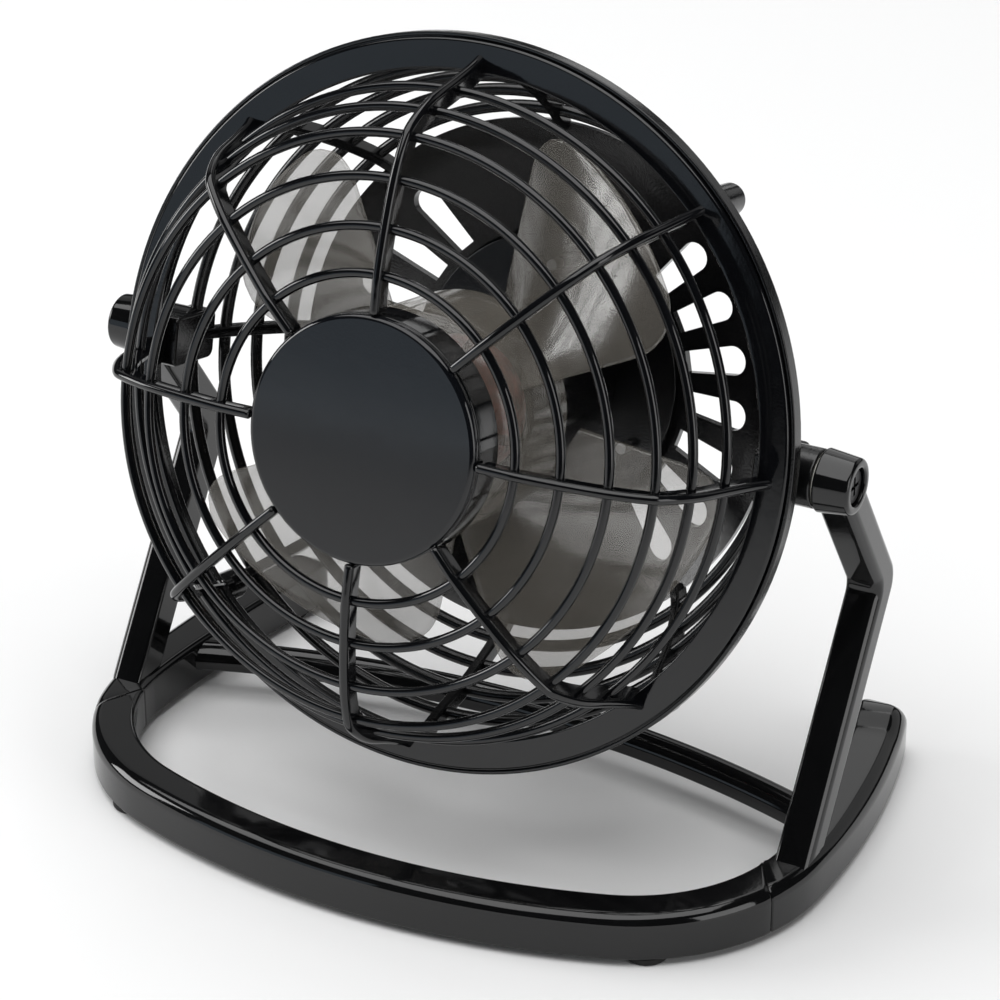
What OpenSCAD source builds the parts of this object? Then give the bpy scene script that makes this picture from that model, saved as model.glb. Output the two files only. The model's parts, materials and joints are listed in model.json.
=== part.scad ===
// Small tilting desk fan: a round guarded head hung between the two arms of an open base frame.
// Millimetres, +Z up, the fan blows towards -Y. The origin is the middle of the footprint.

/* [Head] */
// Outside diameter of the rear shell's rim
head_d = 130; // [126:1:130]
// Angle that the head leans back at rest
rest_tilt = 13.1; // [5:0.1:25]
// Distance from the tilt axis to the front of the hub cap
guard_depth = 40.6; // [39:0.1:42]
// Diameter of the hub cap
hub_cap_d = 42.6; // [40:0.2:44]
// Thickness of one guard wire
wire_d = 1.7; // [1.4:0.1:2]
// Thickness of one bar of the rear shell's grille
bar_d = 2.2; // [1.8:0.1:2.6]
// Width of each air slot in the rear shell, as an angle
slot_angle = 8; // [5:0.5:9]

/* [Impeller and motor] */
// Number of blades
blade_count = 4; // [3:1:5]
// Diameter of the circle that the blade tips sweep
tip_d = 100; // [90:1:102]
// Distance from front edge to rear edge of a blade along the axis
blade_rise = 22; // [16:1:23]
// Angle that one blade covers around the hub
blade_span = 58.5; // [45:0.5:62]
// Diameter of the motor can
motor_d = 24.4; // [23:0.1:24.4]
// Length of the motor can
motor_len = 30; // [28:0.5:31]
// Diameter of the motor shaft
shaft_d = 2; // [2:0.1:2.3]

/* [Stand] */
// Height of the tilt axis above the table
pivot_height = 79; // [78:0.5:82]
// Width across the widest part of the base
base_width = 145.5; // [145:0.5:147]
// Height of the base bars' top face
base_top = 10; // [9.4:0.1:10.4]
// Distance from the tilt axis forward to the front of the base
base_reach = 49.5; // [48:0.5:52]
// Distance from the tilt axis back to the runners' rear ends
tail_reach = 49.5; // [48:0.5:51]
// Width of the front bar
bar_width = 8; // [7.4:0.1:8.4]
// Depth of an arm, front to back
arm_depth = 7; // [6.6:0.1:7.4]
// Height of the rubber feet below the base
foot_height = 1.4; // [1:0.1:2]

/* [Hidden] */
$fn = 96;

gap = 0.1;              // assembly clearance between fixed pieces
running_gap = 0.06;     // radial clearance of a turning fit
through = 1;            // how far a cutter runs past a face

// ---------------------------------------------------------------- points and outlines

function unit(v) = v / norm(v);
function angle_of(v) = atan2(v[1], v[0]);
function turn_by(from, to) = let (d = to - from) d > 180 ? d - 360 : d < -180 ? d + 360 : d;
function reversed(list) = [for (i = [len(list) - 1 : -1 : 0]) list[i]];
function mirrored(list) = [for (p = reversed(list)) [-p[0], p[1]]];

// Points of an arc around c from angle a0 to angle a1
function arc(c, r, a0, a1, steps = 12) =
    [for (i = [0 : steps]) let (a = a0 + (a1 - a0) * i / steps) c + r * [cos(a), sin(a)]];

// The corner b between a and c, rounded with radius r
function corner(a, b, c, r, steps = 6) =
    r == 0 ? [b] :
    let (
        u = unit(a - b),
        v = unit(c - b),
        half = acos(u * v) / 2,
        centre = b + unit(u + v) * r / sin(half),
        a0 = angle_of(b + u * r / tan(half) - centre),
        a1 = angle_of(b + v * r / tan(half) - centre)
    )
    arc(centre, r, a0, a0 + turn_by(a0, a1), steps);

// A closed outline from corners given as [x, y, radius]
function outline(corners, steps = 6) =
    let (n = len(corners))
    [for (i = [0 : n - 1])
        let (a = corners[(i + n - 1) % n], b = corners[i], c = corners[(i + 1) % n])
        each corner([a[0], a[1]], [b[0], b[1]], [c[0], c[1]], b[2], steps)];

// Normal of an open path at point i, to the left of its direction
function path_normal(path, i) =
    let (
        a = path[max(i - 1, 0)],
        b = path[min(i + 1, len(path) - 1)],
        d = unit(b - a)
    )
    [-d[1], d[0]];

// A strip that follows an open path, from distance d0 to distance d1 on its left
function strip(path, d0, d1) = concat(
    [for (i = [0 : len(path) - 1]) path[i] + d0 * path_normal(path, i)],
    reversed([for (i = [0 : len(path) - 1]) path[i] + d1 * path_normal(path, i)]));

// Lower right-hand crossing of two circles
function circles_meet(c1, r1, c2, r2) =
    let (
        d = norm(c2 - c1),
        along = (d * d + r1 * r1 - r2 * r2) / (2 * d),
        across = sqrt(r1 * r1 - along * along),
        u = (c2 - c1) / d
    )
    c1 + along * u + across * [-u[1], u[0]];

// ---------------------------------------------------------------- base outline

front_r = 143;                                      // bow of the front edge
corner_r = 38;
side_r = 165;                                       // bow of each side edge
front_centre = [0, front_r - base_reach];
side_centre = [base_width / 2 - side_r, 3];
corner_centre = circles_meet(front_centre, front_r - corner_r, side_centre, side_r - corner_r);
corner_a0 = angle_of(corner_centre - front_centre);
corner_a1 = angle_of(corner_centre - side_centre);
tail_angle = asin((tail_reach + 6 - side_centre[1]) / side_r);

// Right-hand half of the base outline, moved inwards by inset, from the front middle to the tail
function base_edge(inset) = concat(
    arc(front_centre, front_r - inset, -90, corner_a0, 10),
    arc(corner_centre, corner_r - inset, corner_a0, corner_a1, 12),
    arc(side_centre, side_r - inset, corner_a1, tail_angle, 12));

// The base as one bent band, between two insets
function base_band(inset_out, inset_in) =
    let (outer = base_edge(inset_out), inner = base_edge(inset_in))
    concat(mirrored(outer), outer, reversed(inner), reversed(mirrored(inner)));

seam_outer = [69.2, -21];                           // where the side seam meets the outer face
seam_inner = [64.5, -13.5];
seam_dir = unit(seam_inner - seam_outer);
runner_width = 9.6;
pad_rise = 0.8;                                     // height of the pad on each tail
tongue_in = 2;                                      // wall left outside the joining tongue
tongue_out = 5.9;
tongue_len = 7;
tongue_z = [base_top - 6.4, base_top - 3.4];

// Everything behind the side seam, moved forwards by shift
module behind_seam(shift = 0) {
    side = seam_dir * 12;
    back = [-seam_dir[1], seam_dir[0]] * shift;
    for (m = [0, 1]) mirror([m, 0, 0])
        linear_extrude(3 * base_top)
            polygon([seam_outer - side + back, [100, seam_outer[1] - side[1]], [100, 90],
                     [40, 90], [40, seam_inner[1] + side[1]], seam_inner + side + back]);
}

// ---------------------------------------------------------------- stand

// A point in the rounded corner of the base
function corner_point(inset, a) = corner_centre + (corner_r - inset) * [cos(a), sin(a)];

// Middle of a runner at a distance y behind the tilt axis
function runner_mid(y) =
    [side_centre[0] + sqrt(pow(side_r - runner_width / 2, 2) - pow(y - side_centre[1], 2)), y];

foot_front = corner_point(bar_width / 2, -59);
foot_rear = runner_mid(40);
foot_r = 3.9;
foot_stem_r = 1.9;
foot_stem_len = 3.4;
bar_screw_r = 1;
bar_screw = corner_point((tongue_in + tongue_out) / 2, -27);
cross_r = 190;                                      // bow of the rear crossbar
cross_rear = 21.5;
cross_depth = 4.6;
cross_bottom = 4.4;
cross_top = base_top - 0.8;
cross_tab_top = base_top - 3;
cross_tab_x = 67.6;
runner_inner_x = 62.9;
cross_screw = [65.4, cross_rear - cross_r + sqrt(pow(cross_r - cross_depth / 2, 2) - 65.4 * 65.4)];
arm_inner = 65.3;
arm_outer = 71.8;
arm_screw = [68.5, -5.6];
arm_screw_r = 1.3;
arm_screw_top = 16.4;
barrel_in = 66.5;
barrel_out = 72.9;
barrel_r = 5.6;
barrel_taper = 0.7;
pivot_screw_r = 1.5;
pivot_head_r = 2.9;
pivot_recess = 2.4;

// A pan-head screw pointing up, its head's underside at z = 0
module screw(r, length, head_r, head_h) {
    difference() {
        union() {
            cylinder(h = length, r = r, $fn = 32);
            translate([0, 0, -head_h]) cylinder(h = head_h, r = head_r, $fn = 32);
        }
        for (a = [0, 90]) rotate([0, 0, a])
            translate([-head_r * 0.6, -head_r * 0.12, -head_h - through])
                cube([head_r * 1.2, head_r * 0.24, head_h * 0.6 + through]);
    }
}

module foot_places() {
    for (p = [foot_front, foot_rear], side = [-1, 1])
        translate([side * p[0], p[1], 0]) children();
}

module rubber_feet() {
    color([0.05, 0.05, 0.05]) foot_places() {
        cylinder(h = foot_height, r = foot_r, $fn = 48);
        translate([0, 0, foot_height]) cylinder(h = foot_stem_len, r = foot_stem_r, $fn = 32);
    }
}

module foot_holes() {
    foot_places() cylinder(h = foot_height + foot_stem_len + gap, r = foot_stem_r + gap / 2, $fn = 32);
}

module joining_tongues(clear = 0) {
    intersection() {
        translate([0, 0, tongue_z[0] - clear])
            linear_extrude(tongue_z[1] - tongue_z[0] + 2 * clear)
                polygon(base_band(tongue_in - clear, tongue_out + clear));
        behind_seam(tongue_len + clear);
    }
}

module front_bar() {
    color([0.04, 0.04, 0.045]) difference() {
        translate([0, 0, foot_height])
            linear_extrude(base_top - foot_height) polygon(base_band(0, bar_width));
        behind_seam();
        joining_tongues(gap);
        foot_holes();
        for (side = [-1, 1]) translate([side * bar_screw[0], bar_screw[1], 0]) {
            cylinder(h = tongue_z[0], r = bar_screw_r + gap, $fn = 32);
            cylinder(h = foot_height + 1.2, r = 2 * bar_screw_r, $fn = 32);
        }
    }
}

// Side profile of a runner, with the low pad at its tail
function runner_profile() = outline([
    [-40, foot_height, 0],
    [tail_reach, foot_height, 1.5],
    [tail_reach, base_top + pad_rise, 5.5],
    [43, base_top + pad_rise, 1],
    [41.4, base_top, 1.5],
    [-40, base_top, 0]]);

// Inner edge of the right runner: as wide as the front bar at the seam, then widening up to the arm
function runner_inner() =
    let (steps = 24, widening = 8)
    concat(arc(corner_centre, corner_r - bar_width, corner_a0, corner_a1, 12),
        [for (i = [1 : steps])
            let (
                a = corner_a1 + (tail_angle - corner_a1) * i / steps,
                w = bar_width + (runner_width - bar_width) * min(1, i / widening)
            )
            side_centre + (side_r - w) * [cos(a), sin(a)]]);

// Plan of a runner, with a rounded tail
module runner_plan() {
    tail_mid = runner_mid(tail_reach - runner_width / 2);
    intersection() {
        linear_extrude(2 * base_top) polygon(concat(base_edge(0), reversed(runner_inner())));
        union() {
            translate([50, -60, 0]) cube([30, 60 + tail_reach - runner_width / 2, 2 * base_top]);
            translate([tail_mid[0], tail_mid[1], 0])
                cylinder(h = 2 * base_top, r = runner_width / 2, $fn = 64);
        }
    }
}

module cross_bar_solid(clear = 0) {
    module ring_slice(x_max, z0, z1) {
        intersection() {
            translate([0, cross_rear - cross_r, z0]) difference() {
                cylinder(h = z1 - z0, r = cross_r + clear, $fn = 360);
                translate([0, 0, -through])
                    cylinder(h = z1 - z0 + 2 * through, r = cross_r - cross_depth - clear, $fn = 360);
            }
            translate([-x_max, -10, 0]) cube([2 * x_max, 50, 3 * base_top]);
        }
    }
    ring_slice(cross_tab_x + clear, cross_bottom - clear, cross_tab_top + clear);
    if (clear == 0) ring_slice(runner_inner_x, cross_bottom, cross_top);
}

module right_runner_solid() {
    difference() {
        union() {
            intersection() {
                runner_plan();
                behind_seam();
                rotate([90, 0, 90]) linear_extrude(100) polygon(runner_profile());
            }
            intersection() {
                joining_tongues();
                translate([0, -60, 0]) cube([100, 75, 3 * base_top]);
            }
        }
        cross_bar_solid(gap);
        foot_holes();
        translate([bar_screw[0], bar_screw[1], 0])
            cylinder(h = tongue_z[1] - 0.4, r = bar_screw_r + gap / 2, $fn = 32);
        translate([cross_screw[0], cross_screw[1], 0]) {
            cylinder(h = cross_bottom, r = bar_screw_r + gap, $fn = 32);
            cylinder(h = foot_height + 1.2, r = 2 * bar_screw_r, $fn = 32);
        }
        translate([arm_screw[0], arm_screw[1], 0]) {
            cylinder(h = base_top + through, r = arm_screw_r + gap, $fn = 32);
            cylinder(h = foot_height + 2.4, r = 2.6, $fn = 32);
        }
    }
}

module right_runner() {
    color([0.06, 0.06, 0.065]) right_runner_solid();
}

module left_runner() {
    color([0.06, 0.06, 0.065]) mirror([1, 0, 0]) right_runner_solid();
}

module rear_bar() {
    color([0.04, 0.04, 0.045]) difference() {
        cross_bar_solid();
        for (side = [-1, 1]) translate([side * cross_screw[0], cross_screw[1], 0])
            cylinder(h = cross_tab_top - 0.4, r = bar_screw_r + gap / 2, $fn = 32);
    }
}

module base_screws() {
    color([0.55, 0.55, 0.57]) for (side = [-1, 1]) {
        translate([side * bar_screw[0], bar_screw[1], foot_height + 1.2])
            screw(bar_screw_r, tongue_z[1] - foot_height - 1.8, 1.8 * bar_screw_r, 1);
        translate([side * cross_screw[0], cross_screw[1], foot_height + 1.2])
            screw(bar_screw_r, cross_tab_top - foot_height - 1.8, 1.8 * bar_screw_r, 1);
    }
}

// Front edge of an arm as [y, z], from its foot over the bend to the barrel
arm_foot = [-11.9, base_top];
arm_knee = [16, 51.5];
arm_head = [-1.3, 76];

function arm_profile() =
    let (
        lower = unit(arm_knee - arm_foot),
        upper = unit(arm_head - arm_knee),
        back_low = arm_depth * [lower[1], -lower[0]],
        back_up = arm_depth * [upper[1], -upper[0]],
        knee_back = arm_knee + unit(back_low + back_up) * arm_depth
            / cos(acos(unit(back_low) * unit(back_up)) / 2)
    )
    outline([
        [arm_foot[0], arm_foot[1], 0],
        [arm_knee[0], arm_knee[1], 1.5],
        [arm_head[0], arm_head[1], 0],
        [arm_head[0] + back_up[0], arm_head[1] + back_up[1], 0],
        [knee_back[0], knee_back[1], 6],
        [arm_foot[0] + arm_depth / lower[1], arm_foot[1], 0]], 8);

module right_arm_solid() {
    difference() {
        union() {
            translate([arm_inner, 0, 0]) rotate([90, 0, 90])
                linear_extrude(arm_outer - arm_inner) polygon(arm_profile());
            translate([barrel_in, 0, pivot_height]) rotate([0, 90, 0]) rotate_extrude()
                polygon(outline([[0, 0, 0], [barrel_r, 0, 0.4], [barrel_r - barrel_taper, barrel_out - barrel_in, 0.8],
                                 [0, barrel_out - barrel_in, 0]]));
        }
        translate([arm_inner - through, 0, pivot_height]) rotate([0, 90, 0])
            cylinder(h = barrel_in - arm_inner + through, r = barrel_r + 0.6);
        translate([arm_inner - through, 0, pivot_height]) rotate([0, 90, 0])
            cylinder(h = 20, r = pivot_screw_r + running_gap, $fn = 48);
        translate([barrel_out - pivot_recess, 0, pivot_height]) rotate([0, 90, 0])
            cylinder(h = 20, r = pivot_head_r + 0.4, $fn = 48);
        translate([arm_screw[0], arm_screw[1], 0])
            cylinder(h = arm_screw_top, r = arm_screw_r + gap / 2, $fn = 32);
    }
}

module right_arm() {
    color([0.05, 0.05, 0.055]) right_arm_solid();
}

module left_arm() {
    color([0.05, 0.05, 0.055]) mirror([1, 0, 0]) right_arm_solid();
}

module arm_screws() {
    color([0.55, 0.55, 0.57]) for (side = [-1, 1])
        translate([side * arm_screw[0], arm_screw[1], foot_height + 2.4])
            screw(arm_screw_r, arm_screw_top - foot_height - 2.6, 2.4, 1.6);
}

washer_gap = 0.05;
boss_end = 66.1;

module pivot_washers() {
    color([0.75, 0.75, 0.7]) for (side = [-1, 1])
        translate([side * (boss_end + washer_gap), 0, pivot_height]) rotate([0, side * 90, 0])
            difference() {
                cylinder(h = barrel_in - boss_end - washer_gap, r = 4.6, $fn = 48);
                translate([0, 0, -through]) cylinder(h = 3, r = pivot_screw_r + gap, $fn = 48);
            }
}

module pivot_screws() {
    color([0.3, 0.3, 0.32]) for (side = [-1, 1])
        translate([side * (barrel_out - pivot_recess + washer_gap), 0, pivot_height])
            rotate([0, -side * 90, 0]) screw(pivot_screw_r, 12, pivot_head_r, 1.6);
}

// ---------------------------------------------------------------- head, in its own frame:
// x to the side, y up the face, z forwards along the fan's axis, zero on the tilt axis

module head_frame() {
    translate([0, 0, pivot_height]) rotate([90 - rest_tilt, 0, 0]) children();
}

rim_r = head_d / 2;
rim_z = [7, 9.4];
flange_z = [9.5, 11.1];
flange_in = 58.8;
hub_r = hub_cap_d / 2;
hub_plate_z = [guard_depth - 4, guard_depth - 2.6];
spoke_web = 3.4;
guard_ring = [[27.9, 38.9], [35.6, 37.9], [43.6, 36.4], [50.4, 33.2], [54, 26.8], [56.6, 19]];
spoke_path = [[hub_r - 0.8, 40.4], [29, 39.9], [36, 39], [44, 37.4], [49.6, 35.3], [52.4, 33.1],
              [55.7, 27.2], [58, 19.5], [59.9, 13.4], [61.2, 10.3]];
guard_shift = guard_depth - 40.6;                   // moves the dome with the guard's depth
screw_circle = 62;
screw_phase = 45;
guard_post_r = 1.9;
guard_post_z = 4;
guard_screw_r = 0.95;
guard_screw_z = [3, 9.5];
peg_circle = 12;
peg_r = 1.5;

module around(count, phase = 0) {
    for (i = [0 : count - 1]) rotate([0, 0, phase + 360 * i / count]) children();
}

// One plate standing on the axis: the path gives [radius, z]
module fin(path, d0, d1, thickness) {
    rotate([90, 0, 0]) translate([0, 0, -thickness / 2])
        linear_extrude(thickness) polygon(strip(path, d0, d1));
}

module wire_ring(place, thickness) {
    translate([0, 0, place[1]]) rotate_extrude() translate([place[0], 0])
        circle(d = thickness, $fn = 24);
}

function dome_point(p) = [p[0], p[1] > 30 ? p[1] + guard_shift : p[1]];

module front_guard() {
    path = [for (p = spoke_path) dome_point(p)];
    color([0.03, 0.03, 0.035]) head_frame() difference() {
        union() {
            rotate_extrude() polygon([[flange_in, flange_z[0]], [rim_r - 0.9, flange_z[0]],
                [rim_r - 0.9, flange_z[1] - 0.3], [rim_r - 1.2, flange_z[1]], [flange_in, flange_z[1]]]);
            for (place = guard_ring) wire_ring(dome_point(place), wire_d);
            around(8) difference() {
                fin(path, wire_d / 2, -spoke_web, wire_d);
                cylinder(h = flange_z[0], r = rim_r);
            }
            rotate_extrude() polygon([[hub_r - 1.8, guard_depth - 8.6], [hub_r + 0.1, guard_depth - 8.6],
                [hub_r + 0.1, guard_depth - 1.7], [hub_r - 1.8, guard_depth - 1.7]]);
            translate([0, 0, hub_plate_z[0]])
                cylinder(h = hub_plate_z[1] - hub_plate_z[0], r = hub_r - 1);
            around(4, screw_phase) translate([screw_circle, 0, guard_post_z])
                cylinder(h = flange_z[0] - guard_post_z + 0.2, r = guard_post_r, $fn = 32);
        }
        translate([0, 0, guard_depth - 1.65]) cylinder(h = 10, r = hub_r + gap / 2);
        around(3, 90) translate([peg_circle, 0, hub_plate_z[0] - through])
            cylinder(h = 4, r = peg_r + gap / 2, $fn = 32);
        around(4, screw_phase) translate([screw_circle, 0, guard_post_z - through])
            cylinder(h = guard_screw_z[1] - guard_post_z + through + 0.3,
                     r = guard_screw_r + gap / 2, $fn = 32);
    }
}

module hub_cap() {
    color([0.06, 0.065, 0.08]) head_frame() {
        rotate_extrude() polygon(outline([[0, guard_depth - 1.6, 0], [hub_r, guard_depth - 1.6, 0.3],
            [hub_r, guard_depth, 0.9], [0, guard_depth, 0]], 4));
        translate([0, 0, hub_plate_z[1] + gap]) difference() {
            cylinder(h = 1.2, r = hub_r - 1.9);
            translate([0, 0, -through]) cylinder(h = 4, r = hub_r - 3.3);
        }
        around(3, 90) translate([peg_circle, 0, hub_plate_z[0] - 0.8])
            cylinder(h = 3.6, r = peg_r, $fn = 32);
    }
}

// Rear shell: rim, ribs and ring bars, then a slotted dish that carries the motor tube
rear_ring = [[58.3, -1.6], [55.8, -8.7], [52.8, -15.2], [49.3, -21.4]];
rib_path = [[62, 8], [60.2, 3], [58.3, -1.6], [55.8, -8.7], [52.8, -15.2], [49.3, -21.4], [46, -25.2]];
pod_r = 25;
dish_path = [[46.6, -24.4], [43.6, -26.2], [40, -27.4], [pod_r + gap, -31.4]];
dish_wall = 1.8;
slot_r = [27.6, 38];
plate_z = [-31.4, -29.6];
motor_r = motor_d / 2;
tube_wall = 1.7;
tube_front = 4;
motor_back = -20;
cover_back = -40.5;
cover_wall = 1.6;
cover_post = [20.4, 90];                            // circle radius and first angle
cover_screw_r = 1;
retainer_post_circle = 16.4;
boss_r = 5.2;
screw_boss_r = 2.8;
screw_boss_back = 0.5;

module air_slot() {
    half = slot_angle / 2;
    translate([0, 0, -40]) {
        linear_extrude(20) polygon([slot_r[0] * [cos(half), -sin(half)], slot_r[1] * [cos(half), -sin(half)],
            slot_r[1] * [cos(half), sin(half)], slot_r[0] * [cos(half), sin(half)]]);
        translate([slot_r[1] * cos(half), 0, 0]) cylinder(h = 20, r = slot_r[1] * sin(half), $fn = 32);
    }
}

module pivot_boss() {
    rotate([0, 90, 0]) translate([0, 0, 57.5]) cylinder(h = boss_end - 57.5, r = boss_r, $fn = 64);
    translate([56.4, -4.6, -6]) cube([5.2, 9.2, 13.4]);
}

module rear_shell() {
    color([0.035, 0.035, 0.04]) head_frame() difference() {
        union() {
            rotate_extrude() polygon([[flange_in + 0.6, rim_z[0]], [rim_r - 0.6, rim_z[0]],
                [rim_r, rim_z[0] + 0.6], [rim_r, rim_z[1] + 1], [rim_r - 0.7, rim_z[1] + 1],
                [rim_r - 0.7, rim_z[1]], [flange_in + 0.6, rim_z[1]]]);
            for (place = rear_ring) wire_ring(place, bar_d);
            around(8) fin(rib_path, 1.5, -1.5, 2);
            rotate_extrude() polygon(concat(dish_path,
                [for (p = reversed(dish_path)) [p[0], p[1] - dish_wall]]));
            translate([0, 0, plate_z[0] - 0.4]) cylinder(h = plate_z[1] - plate_z[0] + 0.4, r = pod_r + 0.6);
            translate([0, 0, plate_z[0]])
                cylinder(h = tube_front - plate_z[0], r = motor_r + gap + tube_wall);
            for (m = [0, 1]) mirror([m, 0, 0]) pivot_boss();
            around(4, screw_phase) translate([screw_circle, 0, screw_boss_back])
                cylinder(h = rim_z[0] - screw_boss_back + 0.2, r = screw_boss_r, $fn = 32);
            around(3, cover_post[1]) translate([cover_post[0], 0, plate_z[0]])
                cylinder(h = 6, r = 2.4, $fn = 32);
        }
        for (a = [-45 : 15 : 45], m = [0, 180]) rotate([0, 0, a + m]) air_slot();
        translate([0, 0, -50]) cylinder(h = 100, r = motor_r + gap);
        around(4, screw_phase) translate([screw_circle, 0, 0]) {
            translate([0, 0, screw_boss_back - through])
                cylinder(h = guard_screw_z[0] - screw_boss_back + through, r = guard_post_r + 0.2, $fn = 32);
            cylinder(h = 20, r = guard_screw_r + 0.2, $fn = 32);
            translate([0, 0, guard_post_z - gap]) cylinder(h = 20, r = guard_post_r + gap, $fn = 32);
        }
        around(3, cover_post[1]) translate([cover_post[0], 0, plate_z[0] - through])
            cylinder(h = 5.6 + through, r = cover_screw_r + gap / 2, $fn = 32);
        around(2) translate([retainer_post_circle, 0, plate_z[0] - through])
            cylinder(h = 4, r = cover_screw_r + gap / 2, $fn = 32);
        for (m = [0, 1]) mirror([m, 0, 0]) rotate([0, 90, 0]) translate([0, 0, 56])
            cylinder(h = 20, r = pivot_screw_r + gap / 2, $fn = 48);
        translate([0, -pod_r, cord_z]) rotate([90, 0, 0])
            cylinder(h = cord_flange_depth + 2 * gap, r = cord_flange_r + gap, $fn = 48);
    }
}

// Holes are cut from the front, so the screws sit with their heads to the rear
module guard_screws() {
    color([0.55, 0.55, 0.57]) head_frame() around(4, screw_phase)
        translate([screw_circle, 0, guard_screw_z[0]])
            screw(guard_screw_r, guard_screw_z[1] - guard_screw_z[0], guard_post_r, 1.3);
}

switch_at = [0, 8.6];
switch_size = [13, 8.6];
switch_flange = [15.4, 10.8];
switch_back = -35.4;
cord_z = -35.4;
cord_hole_r = 1.6;
cord_neck_r = 2.6;
cord_flange_r = 3.4;
cord_flange_depth = 1.7;
rocker_z = cover_back + 0.5;
rocker_tilt = 8;
rocker_pin_r = 0.8;

module box_at(size, z0, z1) {
    translate([switch_at[0] - size[0] / 2, switch_at[1] - size[1] / 2, z0])
        cube([size[0], size[1], z1 - z0]);
}

module rear_cover() {
    front = plate_z[0] - 0.4;
    color([0.04, 0.04, 0.045]) head_frame() difference() {
        union() {
            difference() {
                rotate_extrude() polygon(outline([[0, front, 0], [pod_r, front, 0],
                    [pod_r - 0.6, cover_back, 3.2], [0, cover_back, 0]], 8));
                translate([0, 0, cover_back + cover_wall])
                    cylinder(h = 30, r = pod_r - 0.6 - cover_wall);
            }
            around(3, cover_post[1]) translate([cover_post[0], 0, cover_back + 0.4])
                cylinder(h = front - cover_back - 0.6, r = 3, $fn = 32);
        }
        box_at(switch_size + [2 * gap, 2 * gap], cover_back - through, cover_back + 5);
        around(3, cover_post[1]) translate([cover_post[0], 0, cover_back - through]) {
            cylinder(h = 20, r = cover_screw_r + gap, $fn = 32);
            cylinder(h = through + 2, r = 2.1, $fn = 32);
        }
        translate([0, 0, cord_z]) rotate([90, 0, 0]) cylinder(h = 40, r = cord_neck_r + gap / 2, $fn = 48);
        for (x = [-3 : 3]) translate([3.2 * x - 0.7, -15, cover_back - through]) cube([1.4, 12, 4]);
    }
}

module cover_screws() {
    color([0.55, 0.55, 0.57]) head_frame() around(3, cover_post[1])
        translate([cover_post[0], 0, cover_back + 2])
            screw(cover_screw_r, plate_z[0] - cover_back + 2.8, 1.9, 1.3);
}

module motor_retainer() {
    color([0.12, 0.12, 0.13]) head_frame() difference() {
        rotate_extrude() polygon([[6, plate_z[0] - 0.5], [6, plate_z[0] - 2], [19, plate_z[0] - 2],
            [19, plate_z[0] - 0.5], [motor_r - gap, plate_z[0] - 0.5], [motor_r - gap, motor_back - 3.2],
            [motor_r - 2.4, motor_back - 3.2], [motor_r - 2.4, plate_z[0] - 0.5]]);
        around(2) translate([retainer_post_circle, 0, -50])
            cylinder(h = 30, r = cover_screw_r + gap, $fn = 32);
        around(3, cover_post[1]) translate([cover_post[0], 0, -50]) cylinder(h = 30, r = 3.2, $fn = 32);
    }
}

module retainer_screws() {
    color([0.55, 0.55, 0.57]) head_frame() around(2)
        translate([retainer_post_circle, 0, plate_z[0] - 2]) screw(cover_screw_r, 3.4, 1.9, 1.2);
}

// A rubber bush in the cover's lower wall, where the supply cord comes in
module cord_inlet() {
    inside = pod_r - 0.6 - cover_wall;
    color([0.05, 0.05, 0.05]) head_frame() translate([0, 0, cord_z]) rotate([90, 0, 0])
        rotate_extrude() polygon([[cord_hole_r, inside - 1.6], [cord_flange_r, inside - 1.6],
            [cord_flange_r, inside - 0.6], [cord_neck_r, inside - 0.6], [cord_neck_r, pod_r + gap],
            [cord_flange_r, pod_r + gap], [cord_flange_r - 0.6, pod_r + cord_flange_depth],
            [cord_hole_r, pod_r + cord_flange_depth]]);
}

module switch_housing() {
    color([0.05, 0.05, 0.05]) head_frame() difference() {
        union() {
            box_at(switch_size, cover_back - 0.5, switch_back);
            box_at(switch_flange, cover_back - 1.3, cover_back - 0.05);
        }
        box_at(switch_size - [2, 2], cover_back - 3, cover_back + 4);
        translate([switch_at[0], switch_at[1] + 4.1, rocker_z]) rotate([90, 0, 0])
            cylinder(h = 8.2, r = rocker_pin_r + running_gap, $fn = 32);
    }
}

module switch_terminals() {
    color([0.75, 0.75, 0.72]) head_frame() for (x = [-4, 4])
        translate([switch_at[0] + x - 1.2, switch_at[1] - 0.4, switch_back]) cube([2.4, 0.8, 1.5]);
}

// The rocker turns on its two side pins; its outer face dips in the middle
module switch_rocker() {
    half = switch_size[0] / 2 - 1.5;
    wide = switch_size[1] - 2.8;
    color([0.02, 0.02, 0.02]) head_frame()
        translate([switch_at[0], switch_at[1], rocker_z]) rotate([-90, rocker_tilt, 0]) {
            translate([0, 0, -wide / 2]) linear_extrude(wide)
                polygon(outline([[-half, 0.4, 0.3], [0, -1.5, 0.8], [half, 0.4, 0.3], [half, 2.9, 0.5],
                                 [0, 2, 3], [-half, 2.9, 0.5]], 4));
            translate([0, 0, -4]) cylinder(h = 8, r = rocker_pin_r, $fn = 32);
        }
}

// ---------------------------------------------------------------- motor

can_front = motor_back + motor_len;
can_wall = 0.7;
magnet_in = 9;
core_r = 8.4;
core_z = [motor_back + 9, motor_back + 22];
commutator_z = [motor_back + 1.4, motor_back + 5.4];
end_cap_back = motor_back - 3;
shaft_z = [motor_back - 4.6, can_front + 8.6];
bush_r = 3;

module motor_can() {
    color([0.72, 0.72, 0.7]) head_frame() difference() {
        union() {
            rotate_extrude() polygon(outline([[0, motor_back, 0], [motor_r, motor_back, 0],
                [motor_r, can_front, 1.2], [0, can_front, 0]]));
            translate([0, 0, can_front - 0.2]) cylinder(h = 1.6, r = bush_r + 0.8, $fn = 48);
        }
        translate([0, 0, motor_back - through])
            cylinder(h = motor_len - can_wall + through, r = motor_r - can_wall);
        translate([0, 0, motor_back]) cylinder(h = motor_len + 5, r = bush_r + gap / 2, $fn = 48);
    }
}

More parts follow.
